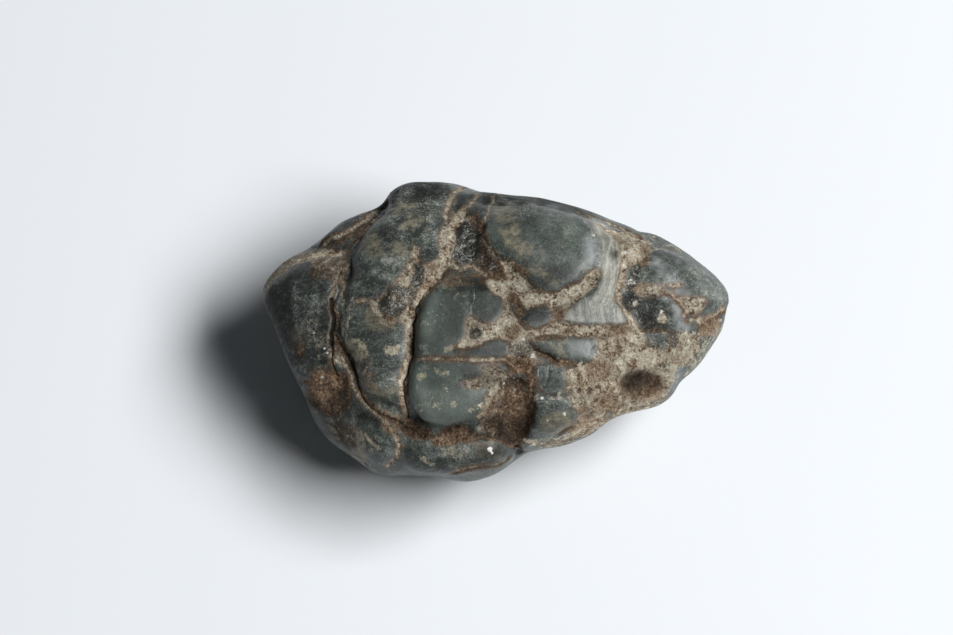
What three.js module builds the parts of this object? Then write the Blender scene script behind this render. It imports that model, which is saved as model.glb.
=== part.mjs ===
// A rough jadeite pebble: one water-worn, knobbly stone with rounded lobes, two open fissures
// across its back, weathered hollows between the lobes and a small flat that it rests on.
// Millimetres, +Z up. The origin is the middle of the stone's footprint box, on the resting flat.
import * as THREE from "three";
import { ImprovedNoise } from "three/addons/math/ImprovedNoise.js";
import { mergeVertices } from "three/addons/utils/BufferGeometryUtils.js";

// Driving dimensions.
const middleHeight = 12.6; // of the inside point that the surface is reached from, over the table
const upperDepth = 13.8; // from the middle to the surface along the sight line, towards the viewer
const lowerDepth = 13.4; // and away from the viewer
const fullness = 2.15; // 2 is an ellipsoid, more is boxier
const rimLean = -0.25; // how far the rim runs back along the sight line as it rises

// The stone is described as it is seen from the front at this height over the table. A place on it
// is [across, up] from the middle, across along +X and up square to the sight line.
const sightElevation = THREE.MathUtils.degToRad(65);
const sightUp = new THREE.Vector3(0, Math.sin(sightElevation), Math.cos(sightElevation));
const towardViewer = new THREE.Vector3(0, -Math.cos(sightElevation), Math.sin(sightElevation));

// The stone's outline in that sight, clockwise from the left tip.
const outline = [
  [-30.9, 4.4], [-30.7, 6.2], [-28.7, 8.7], [-24.8, 11.1], [-23.7, 11.9], [-20.1, 14.7],
  [-16.5, 16.0], [-14.6, 17.3], [-14.3, 18.1], [-11.8, 19.7], [-8.6, 20.1], [-6.0, 19.8],
  [-2.7, 18.7], [0.7, 17.2], [6.4, 16.7], [13.9, 15.0], [19.9, 13.3], [25.8, 10.0],
  [30.3, 6.3], [31.1, 4.0], [30.3, 0.8], [26.8, -4.9], [24.7, -7.0], [24.0, -8.4],
  [22.3, -9.8], [18.6, -10.9], [15.1, -12.0], [12.8, -13.8], [8.8, -15.5], [4.8, -16.4],
  [1.3, -18.6], [-0.7, -19.6], [-3.3, -20.1], [-6.6, -19.5], [-11.7, -19.2], [-13.9, -19.4],
  [-15.8, -19.1], [-19.2, -16.7], [-23.2, -13.1], [-26.2, -7.4], [-28.5, -1.6], [-30.5, 2.8],
];
const outlineSteps = 720;
const bodySmoothing = 0.5; // radians either way over which the body away from the rim is evened out
const rimFade = 6; // how fast the outline's small corners fade out away from the rim

// Lobes, hollows and creases of the upper side: a path, how far from it the surface is changed, and
// how far it is lifted or sunk. "round" marks are domed across, "cut" ones come to an edge.
const upperMarks = [
  { name: "left shoulder", shape: "round", reach: 8, height: 0.9, path: [[-26, 5], [-25.5, -2]] },
  { name: "crest band", shape: "round", reach: 5.5, height: 1.2, path: [[-15.5, 7], [-15.6, -6]] },
  { name: "upper left lump", shape: "round", reach: 7, height: 0.8, path: [[-14, 12]] },
  { name: "top knob", shape: "round", reach: 4, height: 1, path: [[-11.5, 18], [-7, 18.6]] },
  { name: "dome", shape: "round", reach: 9, height: 2.2, path: [[4.5, 12], [10.5, 11]] },
  { name: "central face", shape: "round", reach: 8, height: 1.3, path: [[-5, 1], [-5.5, -8]] },
  { name: "right end", shape: "round", reach: 6, height: 1, path: [[24, 7.5], [27, 5]] },
  { name: "lower right bulk", shape: "round", reach: 8, height: 0.9, path: [[14, -5], [20, -2]] },
  { name: "lower middle lobe", shape: "round", reach: 4.2, height: 1, path: [[8, -11]] },
  { name: "toe", shape: "round", reach: 4, height: 1.6, path: [[-9, -16.5], [-1, -16]] },
  { name: "lower left lobe", shape: "round", reach: 4.5, height: 1.1, path: [[-15.5, -15.2]] },
  {
    name: "left fissure", shape: "cut", reach: 3, height: -1.3,
    path: [
      [-20.2, 8.1], [-21.2, 6.6], [-21.6, 4.1], [-21.5, 0.1], [-20.6, -1.6], [-19.3, -4],
      [-18.2, -7], [-17.4, -9.2], [-14.7, -10.9], [-12.2, -12.3], [-10.4, -13],
    ],
  },
  {
    name: "left slit", shape: "cut", reach: 0.8, height: -0.9,
    path: [
      [-21.6, 4.8], [-21.6, 0.1], [-20.6, -1.6], [-18.2, -7], [-17.4, -9.2], [-14.7, -10.9],
      [-12.5, -12.2],
    ],
  },
  {
    name: "heel crease", shape: "cut", reach: 3, height: -1.5,
    path: [[-20.2, 8.1], [-19.1, 10.6], [-17.5, 13], [-15.5, 14.9], [-14.5, 17]],
  },
  {
    name: "shoulder crease", shape: "cut", reach: 2.4, height: -0.9,
    path: [[-25, 10.9], [-21.9, 10.4], [-19.6, 9.6]],
  },
  {
    name: "knob ledge", shape: "cut", reach: 1.6, height: -0.5,
    path: [[-14, 16], [-11.5, 16.7], [-7, 16.6]],
  },
  {
    name: "middle fissure", shape: "cut", reach: 2.4, height: -1.1,
    path: [
      [-6.9, 9.2], [-9, 5.4], [-10.5, 2.1], [-10.8, -1.2], [-11.2, -4.4], [-11.9, -7.3],
      [-11.6, -10.2], [-10.4, -13],
    ],
  },
  {
    name: "middle slit", shape: "cut", reach: 0.8, height: -0.9,
    path: [
      [-9, 5.4], [-10.5, 2.1], [-10.8, -1.2], [-11.2, -4.4], [-11.9, -7.3], [-11.6, -10.2],
      [-10.4, -12.6],
    ],
  },
  {
    name: "vein crease", shape: "cut", reach: 3, height: -0.8,
    path: [[-2, 19], [-6.1, 17.4], [-6.8, 14.1], [-6.9, 9.2]],
  },
  {
    name: "toe groove", shape: "cut", reach: 2.6, height: -1.5,
    path: [[-10.4, -13], [-6.6, -13.3], [-3.9, -12.7], [-0.8, -13.8], [1.5, -14.2], [3.4, -17]],
  },
  {
    name: "dome left hollow", shape: "round", reach: 3.4, height: -1.1,
    path: [[-3.7, 13.5], [-3.2, 9.5], [0, 8.2]],
  },
  {
    name: "dome lower crease", shape: "cut", reach: 3.6, height: -0.9,
    path: [[0.5, 8.5], [4, 5], [7.5, 4.3], [10.5, 5], [13.8, 8]],
  },
  {
    name: "right crease", shape: "cut", reach: 3.4, height: -1,
    path: [[19.3, 13.5], [19.6, 10.1], [18.3, 6.8], [17.9, 4.1], [19.2, 1.2]],
  },
  { name: "right dent", shape: "round", reach: 3, height: -0.8, path: [[21.2, 2.6]] },
  {
    name: "tip crease", shape: "cut", reach: 2.2, height: -0.6,
    path: [[19.8, 0.1], [24, 0.4], [27.2, 1.2], [31, 2.6]],
  },
  { name: "lower right hollow", shape: "round", reach: 3, height: -1.2, path: [[19, -7.2], [21, -7]] },
  { name: "middle hollow", shape: "round", reach: 2.6, height: -1.4, path: [[2.4, -7.5], [3.1, -13.5]] },
  {
    name: "panel crease", shape: "cut", reach: 1.8, height: -0.5,
    path: [[5.2, -2.7], [9, -4], [12, -4.4]],
  },
  { name: "lower left hollow", shape: "round", reach: 3.8, height: -0.7, path: [[-21.6, -8.1]] },
  {
    name: "lower left ledge", shape: "cut", reach: 1.6, height: -0.8,
    path: [[-12.4, -13.2], [-11.9, -15], [-13.4, -18]],
  },
];

// The same for the back and the underside, each place as [azimuth, elevation] from the middle, in
// degrees.
const farMarks = [
  { name: "back lobe", shape: "round", reach: 9, height: 1, path: [[60, 10], [85, 15]] },
  { name: "back crease", shape: "cut", reach: 3.5, height: -1.2, path: [[112, 40], [118, 0], [110, -30]] },
  { name: "back ledge", shape: "cut", reach: 2.2, height: -0.6, path: [[45, 28], [75, 34], [100, 30]] },
  { name: "back hollow", shape: "round", reach: 4, height: -0.9, path: [[40, 0]] },
  { name: "under right lobe", shape: "round", reach: 8, height: 1, path: [[-20, -40], [10, -45]] },
  { name: "under left lobe", shape: "round", reach: 8, height: 1, path: [[170, -35]] },
  {
    name: "under crease", shape: "cut", reach: 3.5, height: -1.1,
    path: [[-95, -25], [-60, -50], [-10, -62], [40, -45]],
  },
  {
    name: "under left crease", shape: "cut", reach: 3.2, height: -1,
    path: [[-150, -20], [-160, -45], [150, -60], [125, -40]],
  },
  { name: "under pit", shape: "round", reach: 2.6, height: -0.7, path: [[-8, -28]] },
  { name: "front hollow", shape: "round", reach: 4.5, height: -1.1, path: [[-75, -30]] },
  { name: "sole", shape: "round", reach: 9, height: 0.9, path: [[95, -72], [170, -80]] },
];

// The uneven wear over the whole stone.
const wear = [
  { length: 12, height: 0.55 },
  { length: 6, height: 0.3 },
];
const wearOffset = 7; // where in the noise the stone lies

// How closely the mesh follows the stone.
const ballDetail = 10; // rings of the starting ball
const startSpread = new THREE.Vector3(1.5, 1.15, 1); // keeps its triangles even on the long stone
const chordError = 0.06; // an edge is split where the stone leaves it by more than this
const shortestEdge = 0.45;
const refinePasses = 4;
const flipPasses = 2;
const flipGain = 0.7; // an edge is turned when that brings it this much closer to the stone
const leastSliver = 0.25; // narrowest triangle that turning an edge may leave, height over length

// The outline's radius at every step of a full turn from -X, and the same evened out.
const rimRadii = outlineRadii();
const bodyRadii = evened(rimRadii, Math.round((bodySmoothing * outlineSteps) / (2 * Math.PI)));

function outlineRadii() {
  const corners = outline.map(([across, up]) => new THREE.Vector3(across, up, 0));
  const curve = new THREE.CatmullRomCurve3(corners, true, "centripetal");
  const rim = curve.getPoints(2 * outlineSteps).map((p) => ({
    turn: Math.atan2(p.y, p.x),
    radius: Math.hypot(p.x, p.y),
  }));
  rim.sort((a, b) => a.turn - b.turn);
  return Array.from({ length: outlineSteps }, (_, step) => {
    const turn = (step / outlineSteps) * 2 * Math.PI - Math.PI;
    const next = rim.find((p) => p.turn >= turn) ?? rim[0];
    return next.radius;
  });
}

function evened(radii, reach) {
  return radii.map((_, step) => {
    let total = 0;
    for (let k = -reach; k <= reach; k++) total += radii[(step + k + radii.length) % radii.length];
    return total / (2 * reach + 1);
  });
}

function radiusAt(radii, turn) {
  const place = ((turn + Math.PI) / (2 * Math.PI)) * radii.length;
  const before = Math.floor(place);
  const wrap = (step) => (step + radii.length) % radii.length;
  return THREE.MathUtils.lerp(radii[wrap(before)], radii[wrap(before + 1)], place - before);
}

// The plain body in one direction from the middle. Its rim is the outline.
function bodyPoint(direction) {
  const across = direction.x;
  const up = direction.dot(sightUp);
  const depth = direction.dot(towardViewer) - rimLean * up;
  const turn = Math.atan2(up, across);
  const sideways = Math.hypot(across, up);
  const toward = Math.abs(depth) / (depth > 0 ? upperDepth : lowerDepth);
  const smoothRadius = radiusAt(bodyRadii, turn);
  const rimShare = sideways / smoothRadius;
  const nearRim = (rimShare / Math.hypot(rimShare, toward)) ** rimFade;
  const radius = THREE.MathUtils.lerp(smoothRadius, radiusAt(rimRadii, turn), nearRim);
  const size = ((sideways / radius) ** fullness + toward ** fullness) ** (1 / fullness);
  return direction.clone().divideScalar(size);
}

// A place on the body's upper side, from where it is seen.
function seenPoint([across, up]) {
  const rimShare = Math.min(Math.hypot(across, up) / radiusAt(rimRadii, Math.atan2(up, across)), 1);
  const depth = upperDepth * (1 - rimShare ** fullness) ** (1 / fullness) + rimLean * up;
  const aim = new THREE.Vector3(across, 0, 0);
  aim.addScaledVector(sightUp, up).addScaledVector(towardViewer, depth);
  return bodyPoint(aim.normalize());
}

// A place on the body in a direction given by azimuth from +X and elevation.
function farPoint([azimuth, elevation]) {
  const [turn, rise] = [azimuth, elevation].map(THREE.MathUtils.degToRad);
  const level = Math.cos(rise);
  return bodyPoint(new THREE.Vector3(level * Math.cos(turn), level * Math.sin(turn), Math.sin(rise)));
}

const marks = [
  ...upperMarks.map((mark) => ({ ...mark, points: mark.path.map(seenPoint) })),
  ...farMarks.map((mark) => ({ ...mark, points: mark.path.map(farPoint) })),
];

const segment = new THREE.Line3();
const foot = new THREE.Vector3();

function distanceToPath(point, points) {
  if (points.length === 1) return point.distanceTo(points[0]);
  let least = Infinity;
  for (let i = 1; i < points.length; i++) {
    segment.set(points[i - 1], points[i]).closestPointToPoint(point, true, foot);
    least = Math.min(least, foot.distanceTo(point));
  }
  return least;
}

const noise = new ImprovedNoise();

// How far the marks and the wear lift the surface above the body at a point.
function relief({ x, y, z }) {
  const point = new THREE.Vector3(x, y, z);
  let height = 0;
  for (const mark of marks) {
    const share = Math.min(distanceToPath(point, mark.points) / mark.reach, 1);
    height += mark.height * (mark.shape === "round" ? (1 - share ** 2) ** 2 : (1 - share) ** 2);
  }
  for (const { length, height: lift } of wear) {
    height += lift * noise.noise(x / length + wearOffset, y / length, z / length);
  }
  return height;
}

function surfacePoint(direction) {
  const point = bodyPoint(direction);
  point.addScaledVector(direction, relief(point));
  point.z = Math.max(point.z + middleHeight, 0);
  return point;
}

// The mesh: a ball of directions from the middle, cut finer where the stone needs it.
const directions = [];
const points = [];

function addPoint(direction) {
  directions.push(direction);
  return points.push(surfacePoint(direction)) - 1;
}

function middleDirection(a, b) {
  return directions[a].clone().add(directions[b]).normalize();
}

// How far the stone leaves the straight edge between two vertices, half way along it.
function edgeError(a, b) {
  const point = surfacePoint(middleDirection(a, b));
  segment.set(points[a], points[b]).closestPointToPoint(point, true, foot);
  return foot.distanceTo(point);
}

function startTriangles() {
  const ball = new THREE.IcosahedronGeometry(1, ballDetail);
  ball.deleteAttribute("normal");
  ball.deleteAttribute("uv");
  const start = mergeVertices(ball, 1e-5);
  const corners = start.attributes.position;
  for (let i = 0; i < corners.count; i++) {
    addPoint(new THREE.Vector3().fromBufferAttribute(corners, i).multiply(startSpread).normalize());
  }
  const corner = start.index.array;
  return Array.from({ length: corner.length / 3 }, (_, i) => [...corner.slice(3 * i, 3 * i + 3)]);
}

const edgeKey = (a, b) => (a < b ? a + " " + b : b + " " + a);
const edgesOf = ([a, b, c]) => [[a, b], [b, c], [c, a]];

// The same triangle named from the start of its longest edge.
function longestFirst([a, b, c]) {
  const [ab, bc, ca] = edgesOf([a, b, c]).map(([from, to]) => points[from].distanceTo(points[to]));
  if (ab >= bc && ab >= ca) return [a, b, c];
  return bc >= ca ? [b, c, a] : [c, a, b];
}

// The edges that the stone leaves too far, and the longest edge of every triangle that has one.
function edgesToSplit(triangles) {
  const tooCoarse = (a, b) =>
    points[a].distanceTo(points[b]) > 2 * shortestEdge && edgeError(a, b) > chordError;
  const measured = new Set();
  const chosen = new Set();
  for (const [a, b] of triangles.flatMap(edgesOf)) {
    const key = edgeKey(a, b);
    if (!measured.has(key) && tooCoarse(a, b)) chosen.add(key);
    measured.add(key);
  }
  for (let before = -1; before !== chosen.size; ) {
    before = chosen.size;
    for (const [a, b, c] of triangles) {
      if (chosen.has(edgeKey(b, c)) || chosen.has(edgeKey(c, a))) chosen.add(edgeKey(a, b));
    }
  }
  return chosen;
}

function splitEdges(whole) {
  const triangles = whole.map(longestFirst);
  const halves = new Map();
  for (const key of edgesToSplit(triangles)) {
    const [a, b] = key.split(" ").map(Number);
    halves.set(key, addPoint(middleDirection(a, b)));
  }
  const halve = (a, b, c, ab) => (ab === undefined ? [[a, b, c]] : [[a, ab, c], [ab, b, c]]);
  return triangles.flatMap(([a, b, c]) => {
    const [ab, bc, ca] = edgesOf([a, b, c]).map(([from, to]) => halves.get(edgeKey(from, to)));
    if (ab === undefined) return [[a, b, c]];
    return [...halve(c, a, ab, ca), ...halve(b, c, ab, bc)];
  });
}

// Whether a triangle faces outwards and isn't a sliver.
function isSound(a, b, c) {
  const longest = Math.max(...edgesOf([a, b, c]).map(([from, to]) => points[from].distanceTo(points[to])));
  const toB = points[b].clone().sub(points[a]);
  const toC = points[c].clone().sub(points[a]);
  const facing = directions[a].dot(directions[b].clone().cross(directions[c]));
  return facing > 0 && toB.cross(toC).length() > leastSliver * longest ** 2;
}

// Turns the edge between two triangles where the other diagonal lies closer to the stone.
function flipEdges(triangles) {
  const owners = new Map();
  triangles.forEach((triangle, t) => {
    for (const [a, b] of edgesOf(triangle)) {
      owners.set(edgeKey(a, b), [...(owners.get(edgeKey(a, b)) ?? []), t]);
    }
  });
  const touched = new Set();
  for (const [key, [s, t]] of owners) {
    if (touched.has(s) || touched.has(t)) continue;
    const start = edgesOf(triangles[s]).findIndex(([a, b]) => edgeKey(a, b) === key);
    const [a, b, c] = [0, 1, 2].map((i) => triangles[s][(start + i) % 3]);
    const d = triangles[t].find((corner) => corner !== a && corner !== b);
    if (owners.has(edgeKey(c, d)) || !isSound(a, d, c) || !isSound(d, b, c)) continue;
    if (edgeError(c, d) > flipGain * edgeError(a, b)) continue;
    triangles[s] = [a, d, c];
    triangles[t] = [d, b, c];
    touched.add(s).add(t);
  }
}

function stoneGeometry() {
  let triangles = startTriangles();
  for (let pass = 0; pass <= refinePasses; pass++) {
    if (pass > 0) triangles = splitEdges(triangles);
    for (let turn = 0; turn < flipPasses; turn++) flipEdges(triangles);
  }
  const geometry = new THREE.BufferGeometry().setFromPoints(points).setIndex(triangles.flat());
  geometry.computeBoundingBox();
  const footprint = geometry.boundingBox.getCenter(new THREE.Vector3());
  return geometry.translate(-footprint.x, -footprint.y, 0);
}

const jadeite = new THREE.MeshStandardMaterial({ color: 0x4a504c, roughness: 0.45, metalness: 0 });
const stone = new THREE.Mesh(stoneGeometry(), jadeite);
stone.name = "jadeite_stone";

const group = new THREE.Group();
group.add(stone);

export default group;
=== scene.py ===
from math import cos, radians, sin

import bpy
import numpy as np
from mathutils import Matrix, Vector, noise
from mathutils.bvhtree import BVHTree


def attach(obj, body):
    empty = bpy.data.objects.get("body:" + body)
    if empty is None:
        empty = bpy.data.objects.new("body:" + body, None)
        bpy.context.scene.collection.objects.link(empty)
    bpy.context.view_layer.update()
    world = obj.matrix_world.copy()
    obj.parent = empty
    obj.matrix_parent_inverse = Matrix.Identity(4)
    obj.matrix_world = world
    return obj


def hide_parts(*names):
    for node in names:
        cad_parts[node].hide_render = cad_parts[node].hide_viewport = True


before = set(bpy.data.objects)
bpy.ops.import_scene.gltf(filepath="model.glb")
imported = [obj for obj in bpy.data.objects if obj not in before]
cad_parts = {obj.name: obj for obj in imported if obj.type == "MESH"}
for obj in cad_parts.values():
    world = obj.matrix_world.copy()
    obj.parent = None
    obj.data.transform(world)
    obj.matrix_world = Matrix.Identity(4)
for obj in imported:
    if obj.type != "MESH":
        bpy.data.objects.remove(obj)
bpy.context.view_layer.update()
print("frame loaded:", sorted(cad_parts))

cameraSettings = {
    "elevation": 65,  # degrees above the table
    "lens": 400,  # mm, a long macro lens
    "sensor": 36,  # mm
    "distance": 1.4058,  # metres from the target
    "target": (-0.00258, 0.00214, 0.01335),
    "nearest": 0.05,
    "farthest": 20,
    "viewWide": 953,  # pixels of the view that the marks below are placed in
    "viewHigh": 635,
}

elevation = radians(cameraSettings["elevation"])
towardCamera = Vector((0, -cos(elevation), sin(elevation)))
sightUp = Vector((0, sin(elevation), cos(elevation)))
cameraPlace = Vector(cameraSettings["target"]) + towardCamera * cameraSettings["distance"]
bpy.ops.object.select_all(action="DESELECT")
bpy.ops.object.camera_add(location=cameraPlace, rotation=(radians(90 - cameraSettings["elevation"]), 0, 0))
camera = bpy.context.object
camera.data.lens = cameraSettings["lens"]
camera.data.sensor_width = cameraSettings["sensor"]
camera.data.clip_start = cameraSettings["nearest"]
camera.data.clip_end = cameraSettings["farthest"]
bpy.context.scene.camera = camera

viewWide, viewHigh = cameraSettings["viewWide"], cameraSettings["viewHigh"]
focalPixels = viewWide * cameraSettings["lens"] / cameraSettings["sensor"]


def inView(points):
    # where places on the stone fall in the camera's view, in pixels
    away = points - np.array(cameraPlace)
    depth = -(away @ np.array(towardCamera))
    return np.stack([
        viewWide / 2 + focalPixels * away[:, 0] / depth,
        viewHigh / 2 - focalPixels * (away @ np.array(sightUp)) / depth,
    ], axis=1)


def throughPixel(x, y):
    # the camera's ray through a pixel
    ray = Vector(((x - viewWide / 2) / focalPixels, 0, 0))
    ray += sightUp * ((viewHigh / 2 - y) / focalPixels) - towardCamera
    return ray.normalized()


print("camera set")

meshSettings = {
    "weld": 1e-6,  # metres
    "subdivisions": 2,
    "voxel": 0.00044,  # metres
    "smoothing": 0.5,
    "smoothSteps": 5,
    "refinedSmoothness": 0.6,
}


def selectOnly(piece):
    bpy.ops.object.select_all(action="DESELECT")
    piece.select_set(True)
    bpy.context.view_layer.objects.active = piece


def applyModifier(piece, kind, settings):
    selectOnly(piece)
    modifier = piece.modifiers.new(kind.lower(), kind)
    for name, value in settings.items():
        setattr(modifier, name, value)
    bpy.ops.object.modifier_apply(modifier=modifier.name)


def vertexValues(piece, name):
    # the places ("co") or normals ("normal") of a piece's points
    values = np.zeros(len(piece.data.vertices) * 3)
    piece.data.vertices.foreach_get(name, values)
    return values.reshape(-1, 3)


stone = bpy.data.objects.new("rough_jadeite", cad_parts["jadeite_stone"].data.copy())
bpy.context.scene.collection.objects.link(stone)
selectOnly(stone)
stone.data.materials.clear()
bpy.ops.object.mode_set(mode="EDIT")
bpy.ops.mesh.select_all(action="SELECT")
bpy.ops.mesh.remove_doubles(threshold=meshSettings["weld"])
bpy.ops.object.mode_set(mode="OBJECT")
levels = meshSettings["subdivisions"]
applyModifier(stone, "SUBSURF", {"levels": levels, "render_levels": levels})
applyModifier(stone, "REMESH", {"mode": "VOXEL", "voxel_size": meshSettings["voxel"]})
applyModifier(stone, "SMOOTH", {"factor": meshSettings["smoothing"], "iterations": meshSettings["smoothSteps"]})
print("stone remeshed:", len(stone.data.polygons), "faces")

# Lines and patches are placed by pixel, as the camera sees them, and are laid on the stone
# along the camera's rays. A line's width is in pixels too. "far" marks lie on the side that
# the camera doesn't see. "hold" is how solid a patch is, in mm: a low one breaks into specks.

pixelSize = 0.133  # mm on the stone for one pixel

fissures = {
    "left fissure": {"wide": 5.8, "depth": 0.3, "open": True, "path": [(331, 299), (332.5, 306), (333, 316),
        (333, 326), (332, 336), (331.5, 344)]},
    "left fork": {"wide": 1.2, "depth": 0.12, "open": True, "path": [(338, 279), (332, 287), (327, 294)]},
    "left branch": {"wide": 1.9, "depth": 0.35, "open": True, "path": [(336, 336), (341, 345), (347, 354),
        (352, 363), (357, 375), (359, 386), (362, 396), (368, 405), (376, 411), (386, 416), (398, 421), (407, 427)]},
    "middle fissure": {"wide": 2.1, "depth": 0.4, "open": True, "path": [(430, 286), (423, 296), (418, 306),
        (416, 316), (414, 328), (414, 340), (413, 352), (411, 362), (408, 372), (405, 382), (404, 392), (406, 404),
        (409, 418)]},
    "heel crease": {"wide": 3, "depth": 0.06, "path": [(384, 214), (374, 222), (366, 230), (360, 240), (354, 250),
        (349, 262), (342, 271)]},
    "heel slit": {"wide": 1.2, "depth": 0.06, "open": True, "path": [(370, 226), (362, 236), (356, 246), (350, 256),
        (344, 268)]},
    "toe groove": {"wide": 9, "depth": 0.6, "path": [(404, 428), (414, 433), (428, 435), (440, 434), (452, 429),
        (464, 428), (474, 434), (486, 436), (500, 437), (512, 444), (519, 452)]},
    "panel crack": {"wide": 2.0, "depth": 0.15, "path": [(549, 361), (549, 370), (548, 381)]},
    "panel step": {"wide": 2.2, "depth": 0.5, "open": True, "path": [(534, 350), (542, 352), (550, 356),
        (558, 360)]},
    "knob step": {"wide": 2, "depth": 0.2, "path": [(391, 208), (400, 206), (410, 204), (422, 203), (438, 205)]},
    "right step": {"wide": 2.2, "depth": 0.2, "path": [(644, 331), (657, 331), (670, 332), (684, 333)]},
    "far fissure": {"far": True, "wide": 3.4, "depth": 1.1, "open": True, "path": [(386, 200), (402, 214),
        (420, 232), (431, 252), (436, 278), (430, 300), (436, 322), (448, 344)]},
    "far cross fissure": {"far": True, "wide": 2.6, "depth": 0.8, "open": True, "path": [(573, 428), (566, 402),
        (548, 380), (540, 352), (546, 326), (562, 300), (574, 276), (580, 246), (574, 216)]},
    "far heel fissure": {"far": True, "wide": 2.4, "depth": 0.7, "open": True, "path": [(300, 392), (318, 372),
        (330, 350), (328, 326), (336, 300), (330, 276), (316, 256)]},
    "far low fissure": {"far": True, "wide": 2.2, "depth": 0.6, "open": True, "path": [(410, 474), (418, 452),
        (412, 430), (420, 408), (440, 396), (462, 392), (486, 380)]},
    "left fissure top": {"wide": 1.8, "depth": 0.25, "open": True, "path": [(341, 272), (338, 280), (339, 288),
        (337.5, 295), (334, 302)]},
    "left fissure foot": {"wide": 2.2, "depth": 0.3, "open": True, "path": [(331.5, 342), (332, 352), (332, 361),
        (334, 369), (337, 377)]},
    "pillar crack": {"wide": 1.5, "depth": 0.12, "open": True, "path": [(554, 357), (552, 364), (551, 371),
        (548, 378), (546, 383)]},
}

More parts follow.
